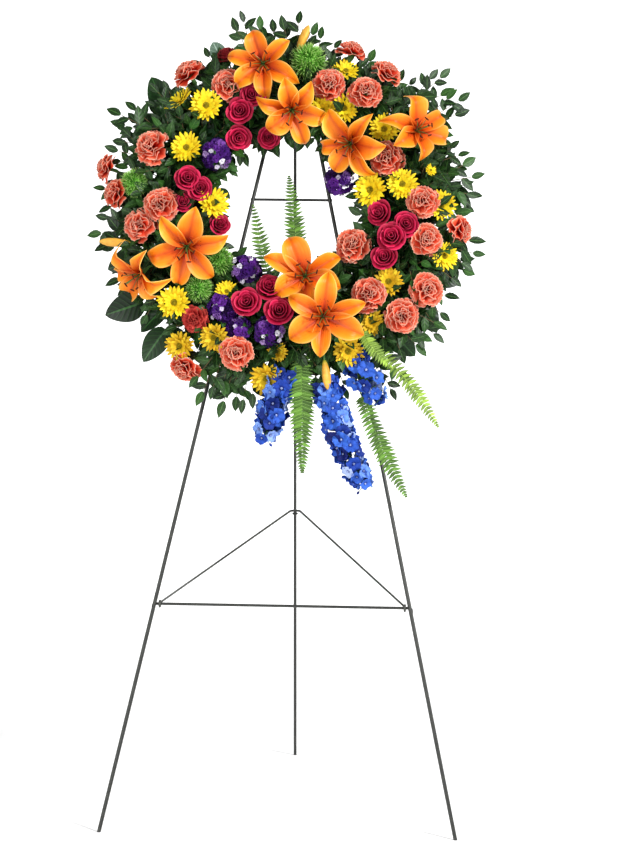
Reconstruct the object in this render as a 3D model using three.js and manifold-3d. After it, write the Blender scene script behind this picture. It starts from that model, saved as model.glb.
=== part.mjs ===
// Funeral wreath on a folding wire easel, in millimetres.
// +Z is up, the flowers face -Y, and the origin is on the ground under the middle of the whole thing.
import * as THREE from 'three';
import { mergeVertices } from 'three/addons/utils/BufferGeometryUtils.js';
import Module from 'manifold-3d';

const wasm = await Module();
wasm.setup();

// ---------------------------------------------------------------- driving dimensions

const GAP = 0.35;                 // kept between pieces that touch
const CLEAR = 0.6;                // kept round a plant's stems and heads
const LEAN = THREE.MathUtils.degToRad(13.8);
const DEPTH_CENTRE = 320;         // front feet to the middle of the footprint

const FOOT_HALF = 318;            // half the distance between the front feet
const APEX_SLANT = 1500;          // where the two front legs would meet, along the slope
const LEG_RADIUS = 3.5;
const LEG_TOP = 1470;
const REAR_FOOT = 638;            // rear foot behind the line of the front feet
const REAR_RADIUS = 3;
const PIN_SLANT = 1460;
const PIN_RADIUS = 2;
const BAR_RADIUS = 2.5;
const LOWER_BAR = 410;
const LOWER_BAR_HALF = 234.5;
const UPPER_BAR = 1165;
const UPPER_BAR_HALF = 76;
const BRACE_RADIUS = 2.2;
const BRACE_EYE = 222;            // from the middle to each eye of the brace
const BRACE_HEIGHT = 515;         // where the brace meets the rear leg
const HOOK_SLANT = 1408;
const HOOK_RADIUS = 2;

const RING_SLANT = 1130;          // centre of the ring, along the slope
const RING_INNER = 178;
const RING_OUTER = 254;
const RING_MIDDLE = (RING_INNER + RING_OUTER) / 2;
const TRAY_BACK = 4.1;            // the tray's back, in front of the legs' middle plane
const TRAY_WALL = 2;
const TRAY_LIP = 18;
const FOAM_FRONT = 52;
const STEM_END = 28;              // how deep the stems reach into the foam
const CROWN = 98;                 // height of the blooms over the legs' plane
const RING_SIDES = 36;

// ---------------------------------------------------------------- materials

const paint = (colour, roughness, metalness = 0) =>
  new THREE.MeshStandardMaterial({ color: colour, roughness, metalness });

const WIRE = paint(0x3c403a, 0.45, 0.6);
const BRACE_WIRE = paint(0x4a4e47, 0.45, 0.6);
const TRAY = paint(0x1f4a2c, 0.4);
const FOAM = paint(0x2f5d3a, 0.95);
const TIE = paint(0x20241f, 0.5);
const LILY = paint(0xf08a1e, 0.5);
const CARNATION = paint(0xee6a4e, 0.7);
const ROSE = paint(0xb0123f, 0.6);
const MUM = paint(0xf2d21c, 0.65);
const STOCK = paint(0x5b2a8c, 0.65);
const DELPHINIUM = paint(0x3459c9, 0.6);
const DIANTHUS = paint(0x4f8f2a, 0.8);
const FERN = paint(0x7db54a, 0.6);
const LEAF = paint(0x2c5a2a, 0.5);
const EUCALYPTUS = paint(0x8fa79a, 0.6);

// ---------------------------------------------------------------- solids

function solidOf(geometry) {
  const bare = geometry.index ? geometry.toNonIndexed() : geometry.clone();
  bare.deleteAttribute('normal');
  bare.deleteAttribute('uv');
  const merged = mergeVertices(bare, 1e-4);
  return new wasm.Manifold(new wasm.Mesh({
    numProp: 3,
    vertProperties: merged.attributes.position.array,
    triVerts: merged.index.array,
  }));
}

function geometryOf(solid) {
  const mesh = solid.getMesh();
  const geometry = new THREE.BufferGeometry();
  geometry.setAttribute('position', new THREE.BufferAttribute(mesh.vertProperties, 3));
  geometry.setIndex(new THREE.BufferAttribute(mesh.triVerts, 1));
  return geometry;
}

const join = (solids) => solids.reduce((sum, next) => sum.add(next));

const near = (a, b) => {
  const [p, q] = [a.boundingBox(), b.boundingBox()];
  return [0, 1, 2].every((i) => p.min[i] < q.max[i] && q.min[i] < p.max[i]);
};

const cut = (solid, cutters) =>
  cutters.filter((other) => near(solid, other)).reduce((rest, other) => rest.subtract(other), solid);

function largest(solid) {
  const bodies = solid.decompose().sort((a, b) => b.volume() - a.volume());
  return bodies[0];
}

// A straight round rod between two points.
function rod(from, to, radius, sides = 8) {
  const axis = to.clone().sub(from);
  const geometry = new THREE.CylinderGeometry(radius, radius, axis.length(), sides);
  geometry.applyQuaternion(new THREE.Quaternion().setFromUnitVectors(
    new THREE.Vector3(0, 1, 0), axis.clone().normalize(),
  ));
  geometry.translate(...from.clone().lerp(to, 0.5).toArray());
  return solidOf(geometry);
}

function ball(centre, radius) {
  const geometry = new THREE.SphereGeometry(radius, 8, 5);
  geometry.translate(...centre.toArray());
  return solidOf(geometry);
}

// The small swelling where stems fork.
function knot(centre, radius) {
  const geometry = new THREE.OctahedronGeometry(radius);
  geometry.translate(...centre.toArray());
  return solidOf(geometry);
}

// A ring of wire whose axis lies along X or along a given direction.
function eye(centre, ringRadius, wireRadius, axis = new THREE.Vector3(1, 0, 0)) {
  const geometry = new THREE.TorusGeometry(ringRadius, wireRadius, 6, 12);
  geometry.applyQuaternion(new THREE.Quaternion().setFromUnitVectors(new THREE.Vector3(0, 0, 1), axis));
  geometry.translate(...centre.toArray());
  return solidOf(geometry);
}

// A solid of revolution: profile points are [radius, height] from the bottom of the axis to the top.
function turned(profile, sides) {
  const geometry = new THREE.LatheGeometry(profile.map(([r, z]) => new THREE.Vector2(r, z)), sides);
  geometry.rotateX(Math.PI / 2);
  return geometry;
}

// A closed ring of revolution about Z from a closed profile.
const hoop = (profile) => solidOf(turned([...profile, profile[0]], RING_SIDES));

// A leaf or petal along +X: a flat spindle with its base at 0, lifted and curled by lift(t).
function blade(length, width, thickness, lift, sections = 4) {
  const geometry = new THREE.SphereGeometry(1, 4, sections);
  geometry.rotateZ(-Math.PI / 2);
  const position = geometry.attributes.position;
  for (let i = 0; i < position.count; i += 1) {
    const t = (position.getX(i) + 1) / 2;
    position.setXYZ(
      i,
      t * length,
      position.getY(i) * width / 2,
      position.getZ(i) * thickness / 2 + lift(t),
    );
  }
  return geometry;
}

// ---------------------------------------------------------------- easel, in the easel's own frame
// The frame's origin is on the ground midway between the front feet.

const slope = (across, along, out = 0) => new THREE.Vector3(
  across,
  along * Math.sin(LEAN) - out * Math.cos(LEAN),
  along * Math.cos(LEAN) + out * Math.sin(LEAN),
);
const legHalf = (along) => FOOT_HALF * (1 - along / APEX_SLANT);

const BEHIND_LEGS = -(LEG_RADIUS + BAR_RADIUS + GAP);
const pin = slope(0, PIN_SLANT, -(LEG_RADIUS + PIN_RADIUS + GAP));
const rearFoot = new THREE.Vector3(0, REAR_FOOT, 0);
const rearDown = rearFoot.clone().sub(pin).normalize();
const rearBack = new THREE.Vector3(0, -rearDown.z, rearDown.y);
const bracePivot = slope(0, LOWER_BAR, BEHIND_LEGS);
const braceMeets = pin.clone().lerp(rearFoot, (pin.z - BRACE_HEIGHT) / pin.z);

// Everything above the ground, to cut the feet off level.
const aboveGround = (() => {
  const geometry = new THREE.BoxGeometry(2000, 2000, 2000);
  geometry.translate(0, 0, 1000);
  return solidOf(geometry);
})();

function frontLeg(side) {
  const start = slope(side * legHalf(-30), -30);
  return rod(start, slope(side * legHalf(LEG_TOP), LEG_TOP), LEG_RADIUS, 10).intersect(aboveGround);
}

function rearLeg() {
  const eyeRadius = PIN_RADIUS + 0.4 + REAR_RADIUS;
  const below = rearFoot.clone().addScaledVector(rearDown, 30);
  const hole = rod(pin.clone().setX(-9), pin.clone().setX(9), PIN_RADIUS + 0.4, 14);
  return rod(pin, below, REAR_RADIUS, 10)
    .add(eye(pin, eyeRadius, REAR_RADIUS))
    .subtract(hole)
    .intersect(aboveGround);
}

const hingePin = () => rod(pin.clone().setX(-13), pin.clone().setX(13), PIN_RADIUS, 12);

function upperCrossbar() {
  const ends = [-1, 1].map((side) => slope(side * UPPER_BAR_HALF, UPPER_BAR, BEHIND_LEGS));
  return rod(...ends, BAR_RADIUS);
}

// The lower bar's ends are turned down behind the legs, which keep the brace's eyes from slipping off.
function lowerCrossbar() {
  const ends = [-1, 1].map((side) => slope(side * LOWER_BAR_HALF, LOWER_BAR, BEHIND_LEGS));
  const turnedDown = ends.map((end) => rod(end, end.clone().add(slope(0, -11)), BAR_RADIUS));
  return join([rod(...ends, BAR_RADIUS), ...ends.map((end) => ball(end, BAR_RADIUS)), ...turnedDown]);
}

// A V of thinner wire: an eye on the lower bar inside each leg, and a short bridge behind the rear leg.
const BRIDGE_HALF = 9;
const bridge = braceMeets.clone().addScaledVector(rearBack, REAR_RADIUS + BRACE_RADIUS + 0.6);

function brace() {
  const eyeRadius = BAR_RADIUS + 0.45 + BRACE_RADIUS;
  const corners = [-1, 1].map((side) => bridge.clone().setX(side * BRIDGE_HALF));
  const solids = [rod(...corners, BRACE_RADIUS)];
  for (const [i, side] of [-1, 1].entries()) {
    const pivot = bracePivot.clone().setX(side * BRACE_EYE);
    const reach = corners[i].clone().sub(pivot).normalize();
    solids.push(eye(pivot, eyeRadius, BRACE_RADIUS));
    solids.push(rod(pivot.clone().addScaledVector(reach, eyeRadius), corners[i], BRACE_RADIUS));
    solids.push(ball(corners[i], BRACE_RADIUS));
  }
  return join(solids);
}

// The ring on the rear leg that the brace's bridge rests on.
function braceCatch() {
  const wire = 1.2;
  const below = braceMeets.clone().addScaledVector(rearDown, BRACE_RADIUS + wire + 0.5);
  return eye(below, REAR_RADIUS + GAP + wire, wire, rearDown);
}

// A short bar across the fronts of the legs, with a hook bent up from its middle.
const HOOK_TIP = 16;
function wreathHook() {
  const out = LEG_RADIUS + HOOK_RADIUS + GAP;
  const half = legHalf(HOOK_SLANT) + 6;
  const corner = slope(0, HOOK_SLANT, HOOK_TIP);
  return join([
    rod(slope(-half, HOOK_SLANT, out), slope(half, HOOK_SLANT, out), HOOK_RADIUS),
    rod(slope(0, HOOK_SLANT, out), corner, HOOK_RADIUS),
    ball(corner, HOOK_RADIUS),
    rod(corner, slope(0, HOOK_SLANT + 12, HOOK_TIP + 2), HOOK_RADIUS),
  ]);
}

// ---------------------------------------------------------------- the ring, in the wreath's frame
// X is to the right, Y up the slope, Z out towards the viewer; 0 is the ring's centre in the legs' plane.
// A place on the ring is a clock angle in degrees (0 at the top, clockwise), a radius and a height.

function onRing(clock, radius, height) {
  const angle = THREE.MathUtils.degToRad(clock);
  return new THREE.Vector3(radius * Math.sin(angle), radius * Math.cos(angle), height);
}

const FOAM_BACK = TRAY_BACK + TRAY_WALL + GAP;

const foamBlank = (grow = 0) => hoop([
  [RING_INNER - grow, FOAM_BACK],
  [RING_OUTER + grow, FOAM_BACK],
  [RING_OUTER + grow, FOAM_FRONT - 8],
  [RING_OUTER - 8, FOAM_FRONT + grow],
  [RING_INNER + 8, FOAM_FRONT + grow],
  [RING_INNER - grow, FOAM_FRONT - 8],
]);

// The channel that holds the foam: a back and two low walls.
const trayBlank = (grow = 0) => {
  const inner = RING_INNER - GAP;
  const outer = RING_OUTER + GAP;
  return hoop([
    [inner - TRAY_WALL - grow, TRAY_BACK - grow],
    [outer + TRAY_WALL + grow, TRAY_BACK - grow],
    [outer + TRAY_WALL + grow, TRAY_LIP + grow],
    [outer, TRAY_LIP + grow],
    [outer, TRAY_BACK + TRAY_WALL],
    [inner, TRAY_BACK + TRAY_WALL],
    [inner, TRAY_LIP + grow],
    [inner - TRAY_WALL - grow, TRAY_LIP + grow],
  ]);
};

// A wire loop stapled into the top of the ring and hung over the hook.
function hangerLoop(grow = 0) {
  const wire = 1.2;
  const half = 10;
  const height = 11;
  const top = HOOK_SLANT - RING_SLANT + HOOK_RADIUS + 0.3 + wire;
  const corners = [-half, half].map((x) => new THREE.Vector3(x, top, height));
  const ends = corners.map((corner) => corner.clone().setY(RING_OUTER - 22));
  return join([
    rod(...corners, wire + grow, 6),
    ...corners.map((corner) => ball(corner, wire + grow)),
    ...corners.map((corner, i) => rod(corner, ends[i], wire + grow, 6)),
  ]);
}

// A strap round the ring and one front leg, laid askew to the leg so that the leg runs through it.
const TIE_CLOCK = 147;
const TIE_SKEW = 30;              // degrees between the strap and the ring's radius
function tie(side, grow = 0) {
  const thick = 1.6;
  const half = 54;
  const back = -(LEG_RADIUS + GAP + 0.2);
  const front = FOAM_FRONT + GAP + 0.2;
  const outline = (extra) => [
    new THREE.Vector2(-half - extra, back - extra),
    new THREE.Vector2(half + extra, back - extra),
    new THREE.Vector2(half + extra, front + extra),
    new THREE.Vector2(-half - extra, front + extra),
  ];
  const shape = new THREE.Shape(outline(thick + grow));
  shape.holes.push(new THREE.Path(outline(-grow)));
  const width = 4 + 2 * grow;
  const geometry = new THREE.ExtrudeGeometry(shape, { depth: width, bevelEnabled: false });
  geometry.translate(0, 0, -width / 2);
  geometry.rotateX(Math.PI / 2);
  geometry.rotateZ(THREE.MathUtils.degToRad(90 - side * (TIE_CLOCK - TIE_SKEW)));
  geometry.translate(...onRing(side * TIE_CLOCK, RING_MIDDLE, 0).toArray());
  return solidOf(geometry);
}

// ---------------------------------------------------------------- flowers and leaves
// Each plant is stems and heads. Stems stay whole; a head gives way to stems and to heads settled before it.

const crown = (radius) => CROWN - 0.003 * (radius - RING_MIDDLE) ** 2;
const tiltAt = (radius) => THREE.MathUtils.degToRad((radius - RING_MIDDLE) * 0.28);

// The turn that takes a flower's own +Z to the way it faces at this place on the ring.
function facing(clock, radius) {
  const tilt = tiltAt(radius);
  const out = onRing(clock, 1, 0);
  return new THREE.Vector3(0, 0, Math.cos(tilt)).addScaledVector(out, Math.sin(tilt)).normalize();
}

// A head: its kind's geometry turned to face outward at [clock, radius], lift above the crown line.
function headAt([clock, radius, lift = 0], geometry, spin = 0) {
  const axis = facing(clock, radius);
  const spinTurn = new THREE.Quaternion().setFromAxisAngle(new THREE.Vector3(0, 0, 1), spin);
  const turn = new THREE.Quaternion().setFromUnitVectors(new THREE.Vector3(0, 0, 1), axis);
  geometry.applyQuaternion(turn.multiply(spinTurn));
  geometry.translate(...onRing(clock, radius, crown(radius) + lift).toArray());
  return solidOf(geometry);
}

const headBase = ([clock, radius, lift = 0], drop) =>
  onRing(clock, radius, crown(radius) + lift).addScaledVector(facing(clock, radius), -drop);

// Stems from one root in the foam, through a fork, to the underside of every head.
function forkedStem(places, root, radius, drop, grow) {
  const tops = places.map((place) => headBase(place, drop));
  const end = onRing(root[0], root[1], STEM_END);
  if (tops.length === 1) {
    return rod(end, tops[0], radius + grow, 4);
  }
  const middle = tops.reduce((sum, top) => sum.add(top), new THREE.Vector3()).divideScalar(tops.length);
  const fork = onRing(root[0], root[1], FOAM_FRONT + 7).lerp(middle, 0.15);
  return join([
    rod(end, fork, radius + grow, 4),
    knot(fork, radius + 1 + grow),
    ...tops.map((top) => rod(fork, top, radius + grow, 4)),
  ]);
}

const ROOT_REACH = 26;
const rootUnder = (places) => {
  const sum = places.reduce(
    (total, [clock, radius]) => total.add(onRing(clock, radius, 0)), new THREE.Vector3(),
  );
  const mean = sum.divideScalar(places.length);
  const clock = THREE.MathUtils.radToDeg(Math.atan2(mean.x, mean.y));
  const reach = THREE.MathUtils.clamp(mean.length() - RING_MIDDLE, -ROOT_REACH, ROOT_REACH);
  return [clock, RING_MIDDLE + reach];
};

const HEADS = {
  // A calyx under a ruffled dome of fringed petals.
  carnation: (r, g) => turned([
    [0, -24 - g], [6 + g, -6], [r * 0.9 + g, 2], [r * 0.9 + g, 13 + g], [0, 22 + g],
  ], 7),
  // A cup of wrapped petals.
  rose: (r, g) => turned([
    [0, -12 - g], [r * 0.8 + g, -3], [r + g, 9], [r * 0.6 + g, 19 + g], [0, 18 + g],
  ], 7),
  // A flat ray of petals round a low button.
  mum: (r, g) => turned([[0, -6 - g], [r + g, 1 - g], [r + g, 3 + g], [0, 11 + g]], 8),
  // A blunt spike of florets seen from its tip.
  stock: (r, g) => turned([[0, -26 - g], [r + g, -8], [r * 0.9 + g, 8], [0, 20 + g]], 8),
  // A round fuzzy ball.
  dianthus: (r, g) => turned([[0, -r * 0.8 - g], [r + g, -4], [r * 0.85 + g, r * 0.5], [0, r * 0.8 + g]], 8),
};

const DROP = { carnation: 14, rose: 6, mum: 3, stock: 12, dianthus: 10 };

const spray = (kind, stemRadius, headRadius, places, root = rootUnder(places)) => (grow) => ({
  stem: forkedStem(places, root, stemRadius, DROP[kind], grow),
  heads: join(places.map((place) => headAt(place, HEADS[kind](place[3] ?? headRadius, grow)))),
});

// Six recurved petals on a short throat.
function lilyHead(place, reach, spin, grow) {
  const lift = (t) => 2 + 30 * t - 24 * t * t;
  const petals = [0, 1, 2, 3, 4, 5].map((i) => {
    const width = (i % 2 ? 21 : 25) + 2 * grow;
    const petal = blade(reach, width, 3 + 2 * grow, lift, 3);
    petal.translate(0, 0, i % 2 ? 0 : 1.5);
    petal.rotateZ(THREE.MathUtils.degToRad(60 * i));
    return headAt(place, petal, spin);
  });
  const throat = turned([[0, -12 - grow], [9 + grow, 6 + grow], [0, 8 + grow]], 6);
  return join([headAt(place, throat, spin), ...petals]);
}

// A lily, with a long bud on a side stem where it has one.
const lily = (place, reach, spin, bud) => (grow) => {
  const root = rootUnder([place]);
  const top = headBase(place, 6);
  const stems = [rod(onRing(...root, STEM_END), top, 2.2 + grow, 5)];
  const heads = [lilyHead(place, reach, THREE.MathUtils.degToRad(spin), grow)];
  if (bud) {
    const fork = onRing(...root, STEM_END).lerp(top, 0.62);
    const [base, tip] = bud.map((at) => onRing(...at));
    const axis = tip.clone().sub(base);
    const geometry = turned([
      [0, -grow], [4 + grow, 0], [8.5 + grow, axis.length() * 0.45],
      [6 + grow, axis.length() * 0.8], [0, axis.length() + grow],
    ], 6);
    geometry.applyQuaternion(new THREE.Quaternion().setFromUnitVectors(
      new THREE.Vector3(0, 0, 1), axis.clone().normalize(),
    ));
    geometry.translate(...base.toArray());
    heads.push(solidOf(geometry));
    stems.push(rod(fork, base.clone().lerp(tip, 0.15), 1.8 + grow, 5));
  }
  return { stem: join(stems), heads: join(heads) };
};

// A long spike of florets from a root in the foam: [clock, radius, height] of its base and of its tip.
const spikes = (root, runs, radius) => (grow) => {
  const end = onRing(...root, STEM_END);
  const fork = onRing(root[0], root[1], FOAM_FRONT + 7);
  const stems = [rod(end, fork, 2 + grow, 5), knot(fork, 3 + grow)];
  const heads = [];
  for (const run of runs) {
    const [base, tip] = run.map((at) => onRing(...at));
    const axis = tip.clone().sub(base);
    const length = axis.length();
    const geometry = turned([
      [0, -grow], [radius * 0.6 + grow, 0], [radius + grow, length * 0.2],
      [radius * 0.9 + grow, length * 0.6], [radius * 0.45 + grow, length * 0.9], [0, length + grow],
    ], 8);
    geometry.applyQuaternion(new THREE.Quaternion().setFromUnitVectors(
      new THREE.Vector3(0, 0, 1), axis.clone().normalize(),
    ));
    geometry.translate(...base.toArray());
    heads.push(solidOf(geometry));
    stems.push(rod(fork, base.clone().lerp(tip, 0.1), 2 + grow, 5));
  }
  return { stem: join(stems), heads: join(heads) };
};

// Turns a blade built along +X so that it runs from a base to a tip, its flat side facing `face`.
function bladeBetween(base, tip, width, thickness, bow, sections, face = new THREE.Vector3(0, 0, 1)) {
  const along = tip.clone().sub(base);
  const geometry = blade(along.length(), width, thickness, (t) => bow * 4 * t * (1 - t), sections);
  const x = along.clone().normalize();
  const y = face.clone().cross(x).normalize();
  const z = x.clone().cross(y);
  geometry.applyMatrix4(new THREE.Matrix4().makeBasis(x, y, z));
  geometry.translate(...base.toArray());
  return geometry;
}

// Fern fronds, each [root clock, root radius] then base and tip as [clock, radius, height], and a bow.
const ferns = (root, fronds) => (grow) => {
  const end = onRing(...root, STEM_END);
  const fork = onRing(root[0], root[1], FOAM_FRONT + 5);
  const stems = [rod(end, fork, 1.8 + grow, 5), knot(fork, 2.8 + grow)];
  const heads = [];
  for (const { base, tip, width, bow } of fronds) {
    const [from, to] = [base, tip].map((at) => onRing(...at));
    heads.push(solidOf(bladeBetween(from, to, width + 2 * grow, 2.4 + 2 * grow, bow, 7)));
    const heart = from.clone().lerp(to, 0.14);
    heart.z += bow * 4 * 0.14 * 0.86;
    stems.push(rod(fork, heart, 1.5 + grow, 5));
  }
  return { stem: join(stems), heads: join(heads) };
};

// A vine pinned along the ring's outer side, from one clock angle to another.
const VINE_RADIUS = RING_OUTER + 5;
const VINE_WIRE = 1.9;
function vine(from, to, height, grow) {
  const [start, end] = [from, to].map((clock) => THREE.MathUtils.degToRad(90 - clock));
  const arc = new THREE.Curve();
  arc.getPoint = (t, target = new THREE.Vector3()) => {
    const angle = start + (end - start) * t;
    return target.set(VINE_RADIUS * Math.cos(angle), VINE_RADIUS * Math.sin(angle), height);
  };
  const circle = new THREE.Path().absarc(0, 0, VINE_WIRE + grow, 0, 2 * Math.PI);
  const section = new THREE.Shape(circle.getSpacedPoints(5));
  const steps = Math.round((to - from) / 9);
  const run = solidOf(new THREE.ExtrudeGeometry(section, { steps, extrudePath: arc }));
  const pins = [0.2, 0.8].map((t) => {
    const clock = from + (to - from) * t;
    return rod(onRing(clock, VINE_RADIUS, height), onRing(clock, RING_OUTER - 18, height), 1.5 + grow, 4);
  });
  return join([run, ...pins]);
}

// A sprig of paired leaves on a thin twig, as one flat piece whose outline runs up one side
// and down the other.
function sprig(base, tip, grow) {
  const along = tip.clone().sub(base);
  const length = along.length();
  const twig = 1.3 + grow;
  const side = [[0, twig]];
  for (const t of [0.4, 0.66]) {
    const foot = t * length;
    side.push([foot, twig], [foot + 12, 19 + grow], [foot + 16, 8 + grow], [foot + 7, twig]);
  }
  side.push([0.86 * length, 6 + grow]);
  const outline = [...side, [length + grow, 0], ...side.map(([x, y]) => [x, -y]).reverse()];
  const thick = 1.6 + 2 * grow;
  const geometry = new THREE.ExtrudeGeometry(
    new THREE.Shape(outline.map(([x, y]) => new THREE.Vector2(x, y))),
    { depth: thick, bevelEnabled: false },
  );
  geometry.translate(0, 0, -thick / 2);
  const x = along.clone().normalize();
  const y = new THREE.Vector3(0, 0, 1).cross(x).normalize();
  geometry.applyMatrix4(new THREE.Matrix4().makeBasis(x, y, x.clone().cross(y)));
  geometry.translate(...base.toArray());
  return solidOf(geometry);
}

// Sprigs on a vine: each is [clock, tip radius, tip height, how far round the vine its foot is].
const sprigs = (from, to, height, tips) => (grow) => ({
  stem: vine(from, to, height, grow),
  heads: join(tips.map(([clock, radius, tipHeight, lean = 0]) =>
    sprig(onRing(clock - lean, VINE_RADIUS, height), onRing(clock, radius, tipHeight), grow))),
});

// Broad leaves on the same kind of vine: [clock, tip radius, tip height, width, lean of the foot].
const broadLeaves = (from, to, height, tips) => (grow) => ({
  stem: vine(from, to, height, grow),
  heads: join(tips.map(([clock, radius, tipHeight, width, lean = 0]) => solidOf(bladeBetween(
    onRing(clock - lean, VINE_RADIUS - 6, height), onRing(clock, radius, tipHeight),
    width + 2 * grow, 1.8 + 2 * grow, 2, 5,
  )))),
});

// ---------------------------------------------------------------- the arrangement
// Places are [clock, radius, lift above the crown line, own radius].

const PLANTS = [
  ['lily_top', LILY, lily([349, 266, 16], 66, 10, [[2, 290, 88], [5, 343, 88]])],
  ['lily_inner_top', LILY, lily([1, 174, 22], 66, 40)],
  ['lily_upper_right', LILY, lily([45, 161, 20], 66, 0)],
  ['lily_right', LILY, lily([59, 265, 16], 64, 25)],
  ['lily_left', LILY, lily([245, 198, 22], 66, 15)],
  ['lily_outer_left', LILY, lily([244, 290, 14], 60, 50, [[255, 284, 60], [258, 346, 62]])],
  ['lily_inner_bottom', LILY, lily([166, 137, 16], 70, 35)],
  ['lily_bottom', LILY, lily([162, 222, 26], 74, 5, [[167, 284, 60], [167, 342, 50]])],

  ['roses_upper_left', ROSE, spray('rose', 1.6, 25, [
    [332, 196, 4], [341, 214, 6], [323, 158], [343, 138, -6, 22], [337, 312, -6, 22],
  ])],
  ['roses_left', ROSE, spray('rose', 1.6, 23, [
    [284, 192, 4], [281, 167, 2], [271, 191, -4, 18], [255, 131, -6, 20],
  ])],
  ['roses_right', ROSE, spray('rose', 1.6, 26, [
    [95, 167, 4], [100, 217, 8], [108, 199, 12], [119, 202, 6],
  ])],
  ['roses_bottom', ROSE, spray('rose', 1.6, 27, [[201, 197, 6], [191, 158, 6], [183, 199, 8]])],

  ['carnations_top_left', CARNATION, spray('carnation', 1.8, 29, [[323, 316], [333, 254, -4]])],
  ['carnations_upper_left', CARNATION, spray('carnation', 1.8, 30, [
    [293, 275, 4], [283, 348, 0, 27], [275, 321, -8, 27],
  ])],
  ['carnations_left', CARNATION, spray('carnation', 1.8, 30, [[269, 232, 4], [262, 272, -4]])],
  ['carnations_top', CARNATION, spray('carnation', 1.8, 29, [[17, 236, 2], [33, 251, 6]])],
  ['carnations_top_right', CARNATION, spray('carnation', 1.8, 26, [[20, 316], [34, 308]])],
  ['carnation_upper_right', CARNATION, spray('carnation', 1.8, 30, [[63, 197, -2]])],
  ['carnations_right', CARNATION, spray('carnation', 1.8, 28, [[88, 243, 2], [104, 258, 4], [97, 316, -4]])],
  ['carnation_inner_right', CARNATION, spray('carnation', 1.8, 30, [[121, 137, 2]])],
  ['carnation_lower_right', CARNATION, spray('carnation', 1.8, 30, [[138, 223, 4]])],
  ['carnations_lower_right', CARNATION, spray('carnation', 1.8, 30, [[121, 295, 4], [134, 290, 6]])],
  ['carnations_bottom_left', CARNATION, spray('carnation', 1.8, 28, [
    [198, 287, 4], [212, 346], [218, 268, -8, 24],
  ])],

  ['mums_upper_left', MUM, spray('mum', 1.4, 27, [[314, 280, -6], [320, 239, -2], [299, 216, -4]])],
  ['mums_left', MUM, spray('mum', 1.4, 26, [[272, 138, -2], [228, 273, 2], [214, 194, -10, 20]])],
  ['mums_bottom_left', MUM, spray('mum', 1.4, 26, [[208, 276, -8], [217, 321, -4], [186, 317, 2, 29]])],
  ['mums_bottom_right', MUM, spray('mum', 1.4, 26, [
    [157, 288, -6], [144, 262, -10, 22], [127, 230, -14],
  ], [141, 196])],
  ['mums_right', MUM, spray('mum', 1.4, 26, [
    [78, 152, 0, 28], [79, 210, -4], [89, 277, -8], [107, 297, -6, 22],
  ])],
  ['mums_top_right', MUM, spray('mum', 1.4, 25, [
    [18, 187, -6], [28, 209, -12], [50, 224, -8], [21, 274, -14, 22],
  ])],

  ['delphinium_left', DELPHINIUM, spikes([190, 236], [[[181, 300, 62], [185, 430, 40]]], 31)],
  ['delphinium_right', DELPHINIUM, spikes([160, 238], [
    [[167, 336, 66], [164, 534, 36]], [[154, 308, 60], [153, 388, 40]],
  ], 30)],
  ['stock_upper_left', STOCK, spray('stock', 2, 30, [[306, 164, -8]])],
  ['stock_inner_right', STOCK, spray('stock', 2, 27, [[57, 104, -2]])],
  ['stock_bottom', STOCK, spray('stock', 2, 26, [[213, 138, -4], [211, 221, -10], [187, 236, -10]])],
  ['dianthus_top', DIANTHUS, spray('dianthus', 1.8, 31, [[6, 276, -12]])],
  ['dianthus_left', DIANTHUS, spray('dianthus', 1.8, 28, [
    [279, 288, -16], [231, 163, -10], [226, 222, -18],
  ])],

  ['fern_inner', FERN, ferns([185, 200], [
    { base: [172, 168, 52], tip: [357, 71, 30], width: 34, bow: 14 },
    { base: [190, 160, 48], tip: [282, 70, 34], width: 30, bow: 10 },
  ])],
  ['fern_hanging', FERN, ferns([176, 240], [
    { base: [175, 268, 56], tip: [176, 482, 46], width: 46, bow: 16 },
  ])],
  ['fern_right', FERN, ferns([151, 240], [
    { base: [149, 266, 80], tip: [147, 352, 84], width: 32, bow: 8 },
    { base: [145, 300, 48], tip: [145, 482, 44], width: 34, bow: 18 },
    { base: [157, 370, 44], tip: [157, 564, 26], width: 40, bow: 16 },
  ])],

  ['huckleberry_top', LEAF, sprigs(-38, 61, 42, [
    [-14, 386, 62], [1, 374, 58, 4], [11, 352, 60], [-30, 356, 56], [46, 368, 62, 4], [54, 384, 56, 6],
  ])],
  ['huckleberry_right', LEAF, sprigs(66, 136, 42, [
    [73, 352, 60], [81, 356, 56, 2], [103, 360, 58], [112, 356, 50], [124, 368, 56, 4], [133, 374, 52, 2],
  ])],
  ['huckleberry_bottom', LEAF, sprigs(147, 212, 42, [
    [148, 402, 34], [193, 384, 38], [199, 396, 40, 3], [206, 386, 46, 4],
  ])],
  ['huckleberry_left', LEAF, sprigs(224, 318, 42, [
    [246, 356, 54], [262, 366, 58, -3], [290, 360, 60], [300, 380, 56, 3], [311, 352, 58],
  ])],
  ['salal_left', LEAF, broadLeaves(224, 318, 24, [
    [224, 382, 34, 46, -2], [231, 362, 30, 44], [239, 382, 38, 54, 2], [250, 350, 36, 50, -2],
    [268, 350, 30, 40], [303, 350, 36, 42], [313, 368, 40, 46, 5],
  ])],
  ['salal_right', LEAF, broadLeaves(96, 136, 24, [
    [100, 336, 34, 40], [117, 350, 34, 44], [128, 366, 36, 46, 4], [134, 372, 30, 44],
  ])],
  ['eucalyptus_top', EUCALYPTUS, broadLeaves(-34, -8, 24, [
    [-25, 348, 48, 34], [-18, 340, 40, 34], [-33, 336, 34, 32],
  ])],
];

// ---------------------------------------------------------------- fitting the plants together

const wanted = PLANTS.map(([name, material, build]) => {
  const fat = build(CLEAR);
  return { name, material, ...build(0), fatStem: fat.stem, fatHeads: fat.heads };
});

const fixed = [foamBlank(GAP), trayBlank(GAP), hangerLoop(GAP), tie(-1, GAP), tie(1, GAP)];

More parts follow.
